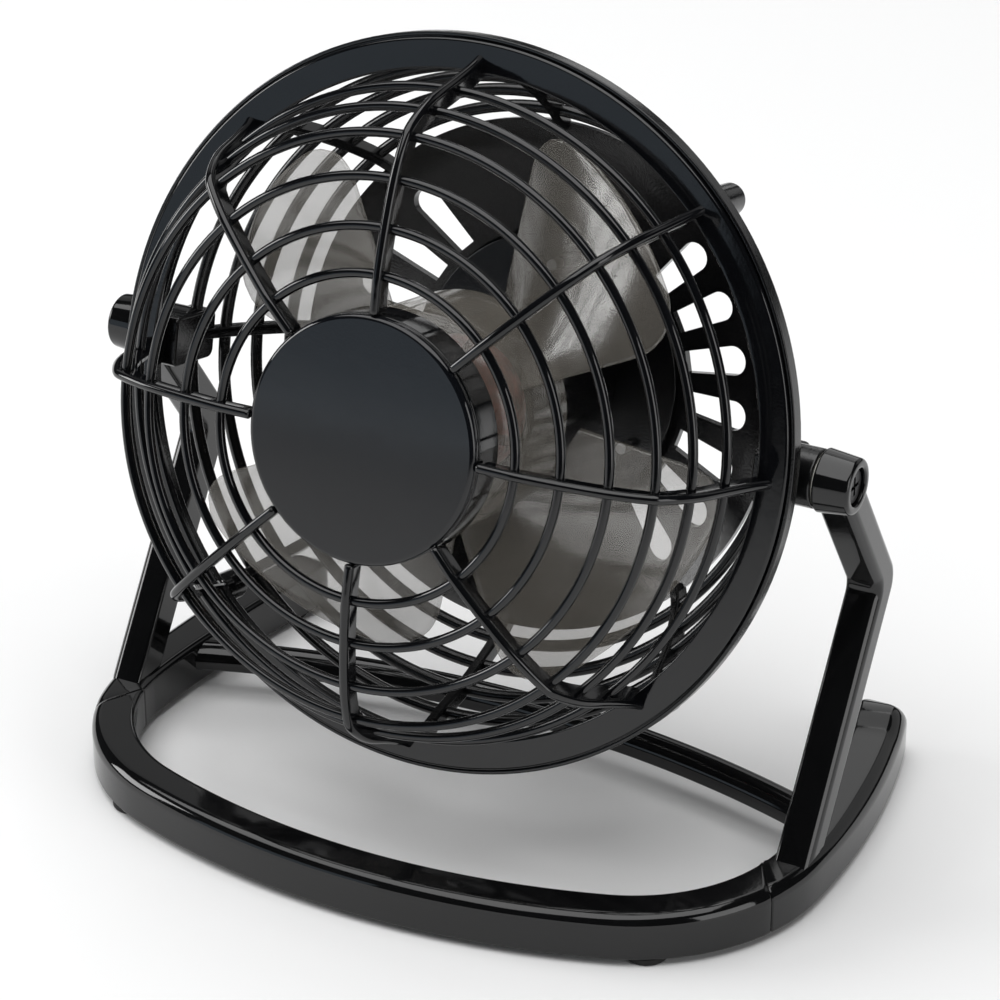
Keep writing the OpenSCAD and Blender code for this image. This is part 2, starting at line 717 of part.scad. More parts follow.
module motor_magnets() {
    color([0.2, 0.2, 0.2]) head_frame() difference() {
        translate([0, 0, motor_back + 6]) difference() {
            cylinder(h = 19, r = motor_r - can_wall - gap / 2);
            translate([0, 0, -through]) cylinder(h = 30, r = magnet_in);
        }
        translate([-30, -3, -50]) cube([60, 6, 100]);
    }
}

module motor_end_cap() {
    color([0.85, 0.85, 0.82]) head_frame() difference() {
        union() {
            translate([0, 0, end_cap_back])
                cylinder(h = motor_back - end_cap_back, r = motor_r - 0.2);
            translate([0, 0, motor_back - 0.1]) cylinder(h = 1.3, r = motor_r - can_wall - gap / 2);
        }
        translate([0, 0, end_cap_back - through]) cylinder(h = 20, r = bush_r + gap / 2, $fn = 48);
        for (x = [-8, 8]) translate([x - 0.4, -1.3, end_cap_back - through]) cube([0.8, 2.6, 10]);
    }
}

module motor_bushings() {
    color([0.72, 0.5, 0.25]) head_frame() for (z = [end_cap_back, can_front - 1.6])
        translate([0, 0, z]) difference() {
            cylinder(h = 3, r = bush_r, $fn = 48);
            translate([0, 0, -through]) cylinder(h = 6, r = shaft_d / 2 + running_gap, $fn = 48);
        }
}

module motor_brushes() {
    color([0.75, 0.5, 0.3]) head_frame() for (side = [-1, 1]) {
        translate([side * 4.6 - 1.5, -1, commutator_z[0] + 0.8]) cube([3, 2, 2]);
        translate([side * 6.6 - 0.5, -1, motor_back + 1.2]) cube([1, 2, 3.2]);
    }
}

module motor_terminals() {
    color([0.75, 0.75, 0.72]) head_frame() for (side = [-1, 1])
        translate([side * 8 - 0.3, -1.2, end_cap_back - 3.4]) cube([0.6, 2.4, 5.4]);
}

// A wire through a list of points, with ball joints at its bends
module lead(points, r) {
    for (i = [0 : len(points) - 2]) {
        run = points[i + 1] - points[i];
        translate(points[i])
            rotate([0, acos(run[2] / norm(run)), atan2(run[1], run[0])])
                cylinder(h = norm(run), r = r, $fn = 24);
        translate(points[i + 1]) sphere(r = r + 0.04, $fn = 24);
    }
}

// Two leads: motor to switch, and from the cord inlet to the motor and the switch
module motor_leads() {
    r = 0.6;
    out = [0, -pod_r + 4.4, cord_z];
    behind = plate_z[0] - 3.1;
    switch_end = [4, switch_at[1] - 1.1, switch_back + 1.1];
    color([0.7, 0.1, 0.08]) head_frame() {
        lead([[8, 1.3 + r, end_cap_back - 2.4], [5, 2.4, end_cap_back - 4.4], [3.6, 3, behind],
              switch_end], r);
        lead([out + [-1, 0, 0], [-3, -10, behind - 0.4], [-5, 2, behind],
              [-switch_end[0], switch_end[1], switch_end[2]]], r);
        lead([out + [1, 0, 0], [1.5, -5, behind - 0.4], [-2.6, -3, plate_z[0] - 1],
              [-5, -2.4, end_cap_back - 4.4], [-8, -1.3 - r, end_cap_back - 2.4]], r);
    }
}

module motor_shaft() {
    color([0.8, 0.8, 0.82]) head_frame() translate([0, 0, shaft_z[0]])
        cylinder(h = shaft_z[1] - shaft_z[0], d = shaft_d, $fn = 48);
}

slot_half = 10;                                     // half angle of a gap between the core's poles

module armature_core() {
    color([0.4, 0.4, 0.42]) head_frame() translate([0, 0, core_z[0]]) difference() {
        cylinder(h = core_z[1] - core_z[0], r = core_r);
        translate([0, 0, -through]) cylinder(h = 30, r = shaft_d / 2 + gap / 4, $fn = 48);
        around(3, 60) translate([0, 0, -through]) {
            linear_extrude(30) polygon([[3, 0], 20 * [cos(slot_half), -sin(slot_half)],
                                        20 * [cos(slot_half), sin(slot_half)]]);
            translate([5.2, 0, 0]) cylinder(h = 30, r = 2.3, $fn = 32);
        }
    }
}

// One coil around each pole, lying in the core's slots and looping over both ends
module armature_windings() {
    color([0.72, 0.35, 0.15]) head_frame() for (z = [core_z[0] - 2.2, core_z[1] + 0.05])
        translate([0, 0, z]) around(3) difference() {
            translate([2.6, -3.4, 0]) cube([4.4, 6.8, 2.1]);
            translate([3.6, -1.2, -through]) cube([2.2, 2.4, 5]);
        }
}

module commutator() {
    color([0.75, 0.42, 0.2]) head_frame() translate([0, 0, commutator_z[0]]) difference() {
        cylinder(h = commutator_z[1] - commutator_z[0], r = 2.9, $fn = 48);
        translate([0, 0, -through]) cylinder(h = 10, r = shaft_d / 2 + gap / 4, $fn = 48);
        around(3, 30) translate([2.2, -0.15, -through]) cube([2, 0.3, 10]);
    }
}

// ---------------------------------------------------------------- impeller

hub_wall = 1.3;
impeller_hub_r = 20;
hub_z = [3, 18];
nose_z = 26;
blade_front = 18;
blade_phase = 25.5;
blade_wall = 1.2;
tip_round = 11;                                     // how far in from the tip its corners start to round
radial_steps = 12;
span_steps = 14;

// Share of the full span that a blade covers at radius r
function span_share(r) =
    let (t = max(0, (r - (tip_d / 2 - tip_round)) / tip_round)) 0.6 + 0.4 * sqrt(max(0, 1 - t * t * t));

// Height of the blade at share s of its span and radius r, cupped a little across the span
function blade_z(s, r) = blade_front - 0.8 - blade_rise * s + 2.2 * sin(180 * s) * r / (tip_d / 2);

function blade_point(i, j, dz) =
    let (
        r = impeller_hub_r - 0.7 + (tip_d / 2 - impeller_hub_r + 0.7) * (1 - pow(1 - i / radial_steps, 1.6)),
        s = 0.5 + (j / span_steps - 0.5) * span_share(r),
        a = blade_phase + blade_span * s
    )
    [r * cos(a), r * sin(a), blade_z(s, r) + dz];

module blade() {
    rows = radial_steps + 1;
    cols = span_steps + 1;
    layer = rows * cols;
    front = [for (i = [0 : radial_steps], j = [0 : span_steps]) blade_point(i, j, blade_wall / 2)];
    back = [for (i = [0 : radial_steps], j = [0 : span_steps]) blade_point(i, j, -blade_wall / 2)];
    faces = concat(
        [for (i = [0 : radial_steps - 1], j = [0 : span_steps - 1])
            let (p = i * cols + j) each [[p, p + 1, p + cols + 1], [p, p + cols + 1, p + cols]]],
        [for (i = [0 : radial_steps - 1], j = [0 : span_steps - 1])
            let (p = layer + i * cols + j) each [[p, p + cols + 1, p + 1], [p, p + cols, p + cols + 1]]],
        [for (j = [0 : span_steps - 1]) let (p = j, q = layer + j) each [[p, q, q + 1], [p, q + 1, p + 1]]],
        [for (j = [0 : span_steps - 1])
            let (p = radial_steps * cols + j, q = layer + p) each [[p, p + 1, q + 1], [p, q + 1, q]]],
        [for (i = [0 : radial_steps - 1])
            let (p = i * cols, q = layer + p) each [[p, p + cols, q + cols], [p, q + cols, q]]],
        [for (i = [0 : radial_steps - 1])
            let (p = i * cols + span_steps, q = layer + p) each [[p, q + cols, p + cols], [p, q, q + cols]]]);
    polyhedron(points = concat(front, back), faces = faces, convexity = 6);
}

module impeller() {
    r = impeller_hub_r;
    boss_r = 3.4;
    color([0.45, 0.43, 0.4, 0.6]) head_frame() {
        difference() {
            union() {
                rotate_extrude() polygon(concat(
                    [[r - hub_wall, hub_z[0]], [r, hub_z[0]]],
                    corner([r, hub_z[0]], [r, nose_z - 2], [0, nose_z], 7, 10),
                    [[0, nose_z]],
                    [[0, nose_z - hub_wall]],
                    corner([0, nose_z - hub_wall], [r - hub_wall, nose_z - 2 - hub_wall],
                           [r - hub_wall, hub_z[0]], 5.8, 10)));
                translate([0, 0, can_front + 2.4])
                    cylinder(h = nose_z - hub_wall - can_front - 2.2, r = boss_r, $fn = 48);
                for (a = [0, 60, 120]) rotate([0, 0, a])
                    translate([-r + hub_wall - 0.2, -0.5, nose_z - 7])
                        cube([2 * (r - hub_wall) + 0.4, 1, 3.2]);
            }
            translate([0, 0, can_front]) cylinder(h = shaft_z[1] - can_front + 0.2,
                                                  r = shaft_d / 2 + gap / 4, $fn = 48);
        }
        around(blade_count) blade();
    }
}

// ---------------------------------------------------------------- the nodes

front_bar();
left_runner();
right_runner();
rear_bar();
left_arm();
right_arm();
rubber_feet();
base_screws();
arm_screws();
pivot_washers();
front_guard();
hub_cap();
rear_shell();
rear_cover();
motor_retainer();
cord_inlet();
switch_housing();
switch_terminals();
motor_leads();
guard_screws();
cover_screws();
retainer_screws();
pivot_screws();
motor_can();
motor_magnets();
motor_end_cap();
motor_bushings();
motor_brushes();
motor_terminals();
impeller();
motor_shaft();
armature_core();
armature_windings();
commutator();
switch_rocker();
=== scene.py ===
import bpy
import bmesh
import json
import math
from mathutils import Matrix, Vector


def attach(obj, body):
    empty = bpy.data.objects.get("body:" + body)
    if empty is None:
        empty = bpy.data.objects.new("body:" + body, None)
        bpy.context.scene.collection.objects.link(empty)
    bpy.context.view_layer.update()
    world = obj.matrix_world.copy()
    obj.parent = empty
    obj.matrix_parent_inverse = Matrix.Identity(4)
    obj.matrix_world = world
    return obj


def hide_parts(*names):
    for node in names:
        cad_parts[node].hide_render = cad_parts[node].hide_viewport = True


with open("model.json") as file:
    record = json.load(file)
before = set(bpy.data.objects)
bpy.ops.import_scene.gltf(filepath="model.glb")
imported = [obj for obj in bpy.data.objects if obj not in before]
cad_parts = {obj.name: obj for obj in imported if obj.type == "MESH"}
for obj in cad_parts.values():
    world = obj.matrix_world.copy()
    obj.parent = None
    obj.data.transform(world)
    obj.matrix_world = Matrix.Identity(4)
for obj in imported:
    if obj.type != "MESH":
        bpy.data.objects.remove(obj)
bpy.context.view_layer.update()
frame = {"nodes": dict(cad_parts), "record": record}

# Shapes are worked out in millimetres and become metres when a mesh is made.
MM = Matrix.Scale(0.001, 4)
PIVOT = Vector((0, 0, 79))
LEAN = 13.1
BASE = Matrix.Identity(4)
HEAD = Matrix.Translation(PIVOT) @ Matrix.Rotation(math.radians(90 - LEAN), 4, "X")


# ---------------------------------------------------------------- outlines

def polar(r, degrees):
    a = math.radians(degrees)
    return Vector((r * math.cos(a), r * math.sin(a)))


def arc(centre, r, a0, a1, steps=12):
    return [Vector(centre) + polar(r, a0 + (a1 - a0) * i / steps) for i in range(steps + 1)]


def corner(a, b, c, r, steps):
    """The corner b between a and c, rounded with radius r."""
    a, b, c = Vector(a), Vector(b), Vector(c)
    if r == 0:
        return [b]
    u, v = (a - b).normalized(), (c - b).normalized()
    half = math.acos(max(-1, min(1, u.dot(v)))) / 2
    centre = b + (u + v).normalized() * r / math.sin(half)
    p, q = b + u * r / math.tan(half) - centre, b + v * r / math.tan(half) - centre
    a0 = math.degrees(math.atan2(p.y, p.x))
    turn = (math.degrees(math.atan2(q.y, q.x)) - a0 + 180) % 360 - 180
    return arc(centre, r, a0, a0 + turn, steps)


def outline(corners, steps=4):
    """A closed outline from corners given as (x, y, radius)."""
    points = []
    for i, (x, y, r) in enumerate(corners):
        before, after = corners[i - 1][:2], corners[(i + 1) % len(corners)][:2]
        points += corner(before, (x, y), after, r, steps)
    return points


def inset(points, d):
    """The closed outline moved inwards by d, with mitred corners."""
    n = len(points)
    area = sum(points[i - 1].x * points[i].y - points[i].x * points[i - 1].y for i in range(n))
    side = 1 if area > 0 else -1
    moved = []
    for i in range(n):
        u = (points[i] - points[i - 1]).normalized()
        v = (points[(i + 1) % n] - points[i]).normalized()
        nu, nv = Vector((-u.y, u.x)) * side, Vector((-v.y, v.x)) * side
        moved.append(points[i] + (nu + nv) * d / max(0.3, 1 + nu.dot(nv)))
    return moved


def smooth_path(points, per_span=6):
    """A Catmull-Rom curve through the points."""
    pts = [Vector(p) for p in points]
    pts = [2 * pts[0] - pts[1]] + pts + [2 * pts[-1] - pts[-2]]
    out = []
    for i in range(1, len(pts) - 2):
        p0, p1, p2, p3 = pts[i - 1:i + 3]
        for k in range(per_span):
            t = k / per_span
            out.append(0.5 * (2 * p1 + (p2 - p0) * t + (2 * p0 - 5 * p1 + 4 * p2 - p3) * t * t
                              + (3 * p1 - 3 * p2 + p3 - p0) * t ** 3))
    return out + [pts[-2]]


# ---------------------------------------------------------------- mesh parts

def skin(bm, rings, join_ends=False, caps=False):
    """Faces between rings of points, with the last joined to the first or with both ends capped."""
    verts = [[bm.verts.new(p) for p in ring] for ring in rings]
    n = len(verts[0])
    last = len(verts) if join_ends else len(verts) - 1
    for i in range(last):
        a, b = verts[i], verts[(i + 1) % len(verts)]
        for k in range(n):
            bm.faces.new((a[k], a[(k + 1) % n], b[(k + 1) % n], b[k]))
    if caps:
        bm.faces.new(verts[0])
        bm.faces.new(verts[-1])


def lathe(bm, profile, steps=128, to=BASE):
    """A closed (r, z) outline turned about the z axis."""
    rings = []
    for k in range(steps):
        a = 2 * math.pi * k / steps
        rings.append([to @ Vector((max(p[0], 0) * math.cos(a), max(p[0], 0) * math.sin(a), p[1]))
                      for p in profile])
    skin(bm, rings, join_ends=True)


def prism(bm, points, a0, a1, r0=0.3, r1=0.3, steps=3, to=BASE):
    """An outline pulled from a0 to a1 along z, its two rims rounded with radius r0 and r1."""
    levels = []
    for k in range(steps + 1):
        a = math.pi / 2 * k / steps
        levels.append((r0 * (1 - math.sin(a)), a0 + r0 * (1 - math.cos(a))))
    for k in range(steps + 1):
        a = math.pi / 2 * k / steps
        levels.append((r1 * (1 - math.cos(a)), a1 - r1 * (1 - math.sin(a))))
    rings = [[to @ Vector((p.x, p.y, z)) for p in inset(points, d)] for d, z in levels]
    skin(bm, rings, caps=True)


def sweep(bm, path, section, across, to=BASE, nose=0.3):
    """A section of (out, side) points along a path of 3-D points, its first end rounded over the length nose;
    side is the fixed direction across."""
    rings = []
    for i, p in enumerate(path):
        t = (path[min(i + 1, len(path) - 1)] - path[max(i - 1, 0)]).normalized()
        out = across.cross(t).normalized()
        if i == 0:
            for back, share in ((nose, 0.55), (0.55 * nose, 0.86)):
                rings.append([to @ (p - t * back + (out * s[0] + across * s[1]) * share) for s in section])
        rings.append([to @ (p + out * s[0] + across * s[1]) for s in section])
    skin(bm, rings, caps=True)


def disc_profile(r, z0, z1, r0=0.2, r1=0.2):
    return outline([(0, z0, 0), (r, z0, r0), (r, z1, r1), (0, z1, 0)], 3)


def tube_profile(r0, r1, z0, z1, edge=0.2):
    return outline([(r0, z0, edge), (r1, z0, edge), (r1, z1, edge), (r0, z1, edge)], 3)


def circle(r, z, radius, steps=16):
    return [Vector((r, z)) + polar(radius, 360 * k / steps) for k in range(steps)]


def turned(degrees):
    return Matrix.Rotation(math.radians(degrees), 4, "Z")


def moved(x, y, z=0):
    return Matrix.Translation((x, y, z))


# Stands an outline up as (y, z), to be pulled along x.
ALONG_X = Matrix(((0, 0, 1, 0), (1, 0, 0, 0), (0, 1, 0, 0), (0, 0, 0, 1)))
MIRROR_X = Matrix.Scale(-1, 4, (1, 0, 0))


def finish_mesh(bm, name, sharp=38):
    """The finished mesh in metres, smooth but for edges that turn by more than sharp degrees."""
    bmesh.ops.remove_doubles(bm, verts=bm.verts, dist=0.004)
    flat = [f for f in bm.faces if f.calc_area() < 1e-7]
    if flat:
        bmesh.ops.dissolve_degenerate(bm, dist=0.002, edges=bm.edges)
    bmesh.ops.recalc_face_normals(bm, faces=bm.faces)
    for f in bm.faces:
        f.smooth = True
    for e in bm.edges:
        if len(e.link_faces) == 2 and e.calc_face_angle(0) > math.radians(sharp):
            e.smooth = False
    bm.transform(MM)
    mesh = bpy.data.meshes.new(name)
    bm.to_mesh(mesh)
    bm.free()
    return mesh


def make(name, body, build, material, node=None, sharp=38):
    """A piece whose mesh comes from build(bm), riding on a body in place of a CAD node."""
    bm = bmesh.new()
    build(bm)
    piece = bpy.data.objects.new(name, finish_mesh(bm, name, sharp))
    bpy.context.scene.collection.objects.link(piece)
    piece.data.materials.append(material)
    normals = piece.modifiers.new("normals", "WEIGHTED_NORMAL")
    normals.keep_sharp = True
    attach(piece, body)
    if node:
        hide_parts(node)
    return piece


def baked(name, bm, cutters, bevel=0.0):
    """The mesh of bm with the cutters taken away and its edges softened, as a new bmesh in millimetres."""
    def loose(b, tag):
        bmesh.ops.remove_doubles(b, verts=b.verts, dist=0.004)
        bmesh.ops.recalc_face_normals(b, faces=b.faces)
        mesh = bpy.data.meshes.new(name + tag)
        b.to_mesh(mesh)
        b.free()
        o = bpy.data.objects.new(name + tag, mesh)
        bpy.context.scene.collection.objects.link(o)
        return o
    body, knife = loose(bm, "_body"), loose(cutters, "_knife")
    cut = body.modifiers.new("cut", "BOOLEAN")
    cut.operation, cut.object, cut.solver = "DIFFERENCE", knife, "EXACT"
    if bevel:
        soften = body.modifiers.new("soften", "BEVEL")
        soften.width, soften.segments, soften.limit_method = bevel, 2, "ANGLE"
        soften.angle_limit = math.radians(40)
    graph = bpy.context.evaluated_depsgraph_get()
    result = bmesh.new()
    result.from_mesh(body.evaluated_get(graph).to_mesh())
    for o in (body, knife):
        mesh = o.data
        bpy.data.objects.remove(o)
        bpy.data.meshes.remove(mesh)
    return result


# ---------------------------------------------------------------- materials

def node_tree(name):
    mat = bpy.data.materials.new(name)
    mat.use_nodes = True
    return mat, mat.node_tree, mat.node_tree.nodes["Principled BSDF"]


def add(nt, kind, **values):
    """A node whose inputs are set or linked by name; names with underscores stand for spaces."""
    node = nt.nodes.new(kind)
    for key, value in values.items():
        key = key.replace("_", " ")
        if isinstance(value, bpy.types.NodeSocket):
            nt.links.new(value, node.inputs[key])
        else:
            node.inputs[key].default_value = value
    return node


def noise(nt, at, scale, detail=3.0, rough=0.5, stretch=None):
    if stretch:
        mapping = add(nt, "ShaderNodeMapping", Vector=at)
        mapping.inputs["Scale"].default_value = stretch
        at = mapping.outputs["Vector"]
    node = add(nt, "ShaderNodeTexNoise", Vector=at, Scale=scale, Detail=detail, Roughness=rough)
    return node.outputs["Fac"]


def ramp(nt, fac, low, high, a, b):
    """Maps fac from low..high to a..b; a and b are numbers or colours."""
    if isinstance(a, (int, float)):
        node = add(nt, "ShaderNodeMapRange", Value=fac, From_Min=low, From_Max=high, To_Min=a, To_Max=b)
        return node.outputs[0]
    node = add(nt, "ShaderNodeValToRGB", Fac=fac)
    ends = node.color_ramp.elements
    ends[0].position, ends[0].color = low, (*a, 1)
    ends[1].position, ends[1].color = high, (*b, 1)
    return node.outputs["Color"]


def mix(nt, fac, a, b):
    node = nt.nodes.new("ShaderNodeMix")
    node.data_type = "RGBA"
    for socket, value in ((node.inputs[0], fac), (node.inputs[6], a), (node.inputs[7], b)):
        if isinstance(value, bpy.types.NodeSocket):
            nt.links.new(value, socket)
        else:
            socket.default_value = value if isinstance(value, float) else (*value, 1)
    return node.outputs[2]


def multiply(nt, a, b):
    node = nt.nodes.new("ShaderNodeMath")
    node.operation = "MULTIPLY"
    for socket, value in zip(node.inputs, (a, b)):
        if isinstance(value, bpy.types.NodeSocket):
            nt.links.new(value, socket)
        else:
            socket.default_value = value
    return node.outputs[0]


def edge_mask(nt, radius):
    """1 on edges within about the radius, 0 on open faces."""
    bevel = add(nt, "ShaderNodeBevel", Radius=radius)
    bevel.samples = 4
    plain = nt.nodes.new("ShaderNodeNewGeometry").outputs["Normal"]
    dot = nt.nodes.new("ShaderNodeVectorMath")
    dot.operation = "DOT_PRODUCT"
    nt.links.new(bevel.outputs[0], dot.inputs[0])
    nt.links.new(plain, dot.inputs[1])
    return ramp(nt, dot.outputs["Value"], 0.97, 0.8, 0.0, 1.0)


def surface(name, dark, light, rough, grain=(1500, 0.1), peel=(260, 0.12), metallic=0.0, specular=0.5,
            wear=None, stretch=None, patches=70):
    """A moulded or metal surface: two close tones in slow patches, uneven gloss, fine grain over a slow wave,
    and edges rubbed towards the wear colour."""
    mat, nt, shader = node_tree(name)
    at = nt.nodes.new("ShaderNodeTexCoord").outputs["Object"]
    slow = noise(nt, at, patches, 4, 0.6)
    fine = noise(nt, at, grain[0], 2, 0.6, stretch)
    colour = mix(nt, ramp(nt, slow, 0.3, 0.7, 0.0, 1.0), dark, light)
    smudge = noise(nt, at, patches * 3, 5, 0.65, stretch)
    roughness = ramp(nt, smudge, 0.3, 0.75, rough[0], rough[1])
    if wear:
        width, strength, rubbed = wear
        edges = edge_mask(nt, width)
        worn = multiply(nt, edges, ramp(nt, noise(nt, at, 420, 5, 0.7), 0.45, 0.7, 0.0, strength))
        colour = mix(nt, worn, colour, rubbed)
    nt.links.new(colour, shader.inputs["Base Color"])
    nt.links.new(roughness, shader.inputs["Roughness"])
    wave = noise(nt, at, peel[0], 2, 0.5)
    height = add(nt, "ShaderNodeBump", Height=wave, Strength=peel[1], Distance=0.0003)
    height = add(nt, "ShaderNodeBump", Height=fine, Strength=grain[1], Distance=0.00008,
                 Normal=height.outputs["Normal"])
    nt.links.new(height.outputs["Normal"], shader.inputs["Normal"])
    shader.inputs["Metallic"].default_value = metallic
    shader.inputs["Specular IOR Level"].default_value = specular
    return mat


RUBBED = (0.0003, 0.25, (0.03, 0.031, 0.034))       # how wide, how strongly and how light edges are rubbed
base_black = surface("base_black", (0.0028, 0.0029, 0.0031), (0.0046, 0.0047, 0.005), (0.05, 0.1),
                     peel=(190, 0.05), grain=(1700, 0.04), wear=RUBBED)
guard_black = surface("guard_black", (0.0024, 0.0026, 0.0032), (0.004, 0.0043, 0.0052), (0.05, 0.1),
                      peel=(230, 0.05), grain=(1700, 0.04), wear=RUBBED)
cap_black = surface("cap_black", (0.003, 0.0034, 0.0046), (0.0045, 0.0051, 0.0066), (0.04, 0.08),
                    peel=(150, 0.03), grain=(1900, 0.025), wear=RUBBED)
shell_black = surface("shell_black", (0.0026, 0.0027, 0.003), (0.0045, 0.0046, 0.005), (0.12, 0.22),
                      peel=(260, 0.08), grain=(2300, 0.3), wear=RUBBED)
rubber_black = surface("rubber_black", (0.006, 0.006, 0.006), (0.014, 0.0135, 0.013), (0.55, 0.8),
                       grain=(2600, 0.5), peel=(420, 0.25), specular=0.35)
inner_grey = surface("inner_grey", (0.035, 0.035, 0.038), (0.055, 0.055, 0.058), (0.45, 0.62),
                     grain=(2400, 0.4))
switch_black = surface("switch_black", (0.01, 0.01, 0.0105), (0.017, 0.017, 0.0175), (0.34, 0.48),
                       grain=(2600, 0.4), wear=(0.00025, 0.4, (0.05, 0.05, 0.05)))
nylon_white = surface("nylon_white", (0.68, 0.66, 0.6), (0.8, 0.79, 0.74), (0.4, 0.58), grain=(2200, 0.25))
lead_red = surface("lead_red", (0.38, 0.02, 0.015), (0.52, 0.035, 0.025), (0.35, 0.5), grain=(2600, 0.3))
ferrite = surface("ferrite", (0.03, 0.03, 0.032), (0.07, 0.07, 0.075), (0.55, 0.75), grain=(3000, 0.6),
                  peel=(600, 0.3))
zinc_screw = surface("zinc_screw", (0.5, 0.51, 0.53), (0.66, 0.66, 0.64), (0.24, 0.4), metallic=1.0,
                     grain=(2600, 0.25), wear=(0.0002, 0.5, (0.8, 0.8, 0.78)))
black_screw = surface("black_screw", (0.01, 0.01, 0.011), (0.02, 0.02, 0.022), (0.3, 0.48), metallic=0.8,
                      grain=(2600, 0.3), wear=(0.0002, 0.4, (0.1, 0.1, 0.1)))
contact_metal = surface("contact_metal", (0.62, 0.45, 0.22), (0.78, 0.6, 0.34), (0.22, 0.4), metallic=1.0,
                        stretch=(1, 1, 6))
can_red = surface("can_red", (0.08, 0.014, 0.01), (0.36, 0.06, 0.036), (0.25, 0.42), specular=0.6,
                  patches=380, grain=(1600, 0.2))
bush_bronze = surface("bush_bronze", (0.5, 0.31, 0.13), (0.66, 0.45, 0.22), (0.3, 0.5), metallic=1.0,
                      grain=(3200, 0.6))
shaft_steel = surface("shaft_steel", (0.62, 0.62, 0.64), (0.74, 0.74, 0.75), (0.12, 0.24), metallic=1.0,
                      stretch=(1, 8, 1))
core_steel = surface("core_steel", (0.26, 0.26, 0.28), (0.42, 0.42, 0.43), (0.3, 0.5), metallic=1.0,
                     stretch=(1, 12, 1), grain=(900, 0.5))
copper_wire = surface("copper_wire", (0.5, 0.15, 0.06), (0.72, 0.3, 0.13), (0.2, 0.36), metallic=0.9,
                      stretch=(8, 1, 1), grain=(1300, 0.6))


def smoky(name):
    """Grey-brown plastic, clear enough to show what lies behind and a little milky, denser where it is seen
    along its surface."""
    mat, nt, shader = node_tree(name)
    at = nt.nodes.new("ShaderNodeTexCoord").outputs["Object"]
    flow = noise(nt, at, 45, 4, 0.6)
    colour = mix(nt, ramp(nt, flow, 0.3, 0.7, 0.0, 1.0), (0.165, 0.152, 0.131), (0.24, 0.221, 0.19))
    nt.links.new(colour, shader.inputs["Base Color"])
    nt.links.new(ramp(nt, noise(nt, at, 240, 4, 0.6), 0.3, 0.75, 0.12, 0.2), shader.inputs["Roughness"])
    bump = add(nt, "ShaderNodeBump", Height=noise(nt, at, 30, 1, 0.4), Strength=0.012, Distance=0.0004)
    nt.links.new(bump.outputs["Normal"], shader.inputs["Normal"])
    shader.inputs["IOR"].default_value = 1.6
    shader.inputs["Specular IOR Level"].default_value = 1.0
    facing = add(nt, "ShaderNodeLayerWeight", Blend=0.5).outputs["Facing"]
    nt.links.new(ramp(nt, facing, 0.35, 0.98, 0.37, 0.64), shader.inputs["Alpha"])
    return mat


smoky_clear = smoky("smoky_clear")

FINISH = {"base_black": base_black, "guard_black": guard_black, "cap_black": cap_black,
          "shell_black": shell_black, "smoky_clear": smoky_clear, "rubber_black": rubber_black,
          "zinc_screw": zinc_screw, "black_screw": black_screw, "nylon_white": nylon_white,
          "inner_grey": inner_grey, "switch_black": switch_black, "contact_metal": contact_metal,
          "lead_red": lead_red, "can_red": can_red, "ferrite": ferrite, "bush_bronze": bush_bronze,
          "shaft_steel": shaft_steel, "core_steel": core_steel, "copper_wire": copper_wire}
for part in frame["record"]["subparts"]:
    shown = frame["nodes"][part["node"]]
    shown.data.materials.clear()
    shown.data.materials.append(FINISH[part["material_slot"]])


# ---------------------------------------------------------------- head: guard

RIM_STEPS, HUB_STEPS = 192, 128                 # facets round the head's rim and round its hub
RIBS = 8                                        # spokes of the guard, and ribs of the shell behind them
FLANGE_IN, FLANGE_OUT = 58.8, 64.1
FLANGE_BACK, FLANGE_FRONT = 9.5, 11.1
GUARD_RINGS = [(27.9, 38.9), (35.6, 37.9), (43.6, 36.4), (50.4, 33.2), (54, 26.8), (56.6, 19)]
SPOKE = [(21.75, 39.85), (25, 39.95), (29, 39.9), (36, 39), (44, 37.4), (49.6, 35.3), (52.4, 33.1),
         (55.7, 27.2), (58, 19.5), (59.9, 13.4), (61.2, 10.3)]
SPOKE_WEB = [(-0.6, 0.62), (-3.1, 0.55), (-3.4, 0.3)]
WIRE = 0.85                                     # radius of the ring wires and of the bead along each spoke
TUBE_IN, TUBE_OUT, TUBE_BACK, TUBE_FRONT = 19.5, 21.4, 32, 38.9
PLATE_R, PLATE_BACK, PLATE_FRONT = 20.3, 36.6, 38
SCREW_CIRCLE = 62                               # the radius that the guard's four screws stand on
POST_BORE, POST_R, POST_BACK, POST_FRONT = 0.95, 1.9, 4, 9.8


def around(count, first, r, to=BASE):
    """Places spaced evenly round the axis at radius r, from the angle first."""
    return [to @ turned(first + 360 / count * k) @ moved(r, 0) for k in range(count)]


def upright(points, per_span):
    """A smooth path through (r, z) points, in the plane of the x and z axes."""
    return [Vector((p.x, 0, p.y)) for p in smooth_path(points, per_span)]


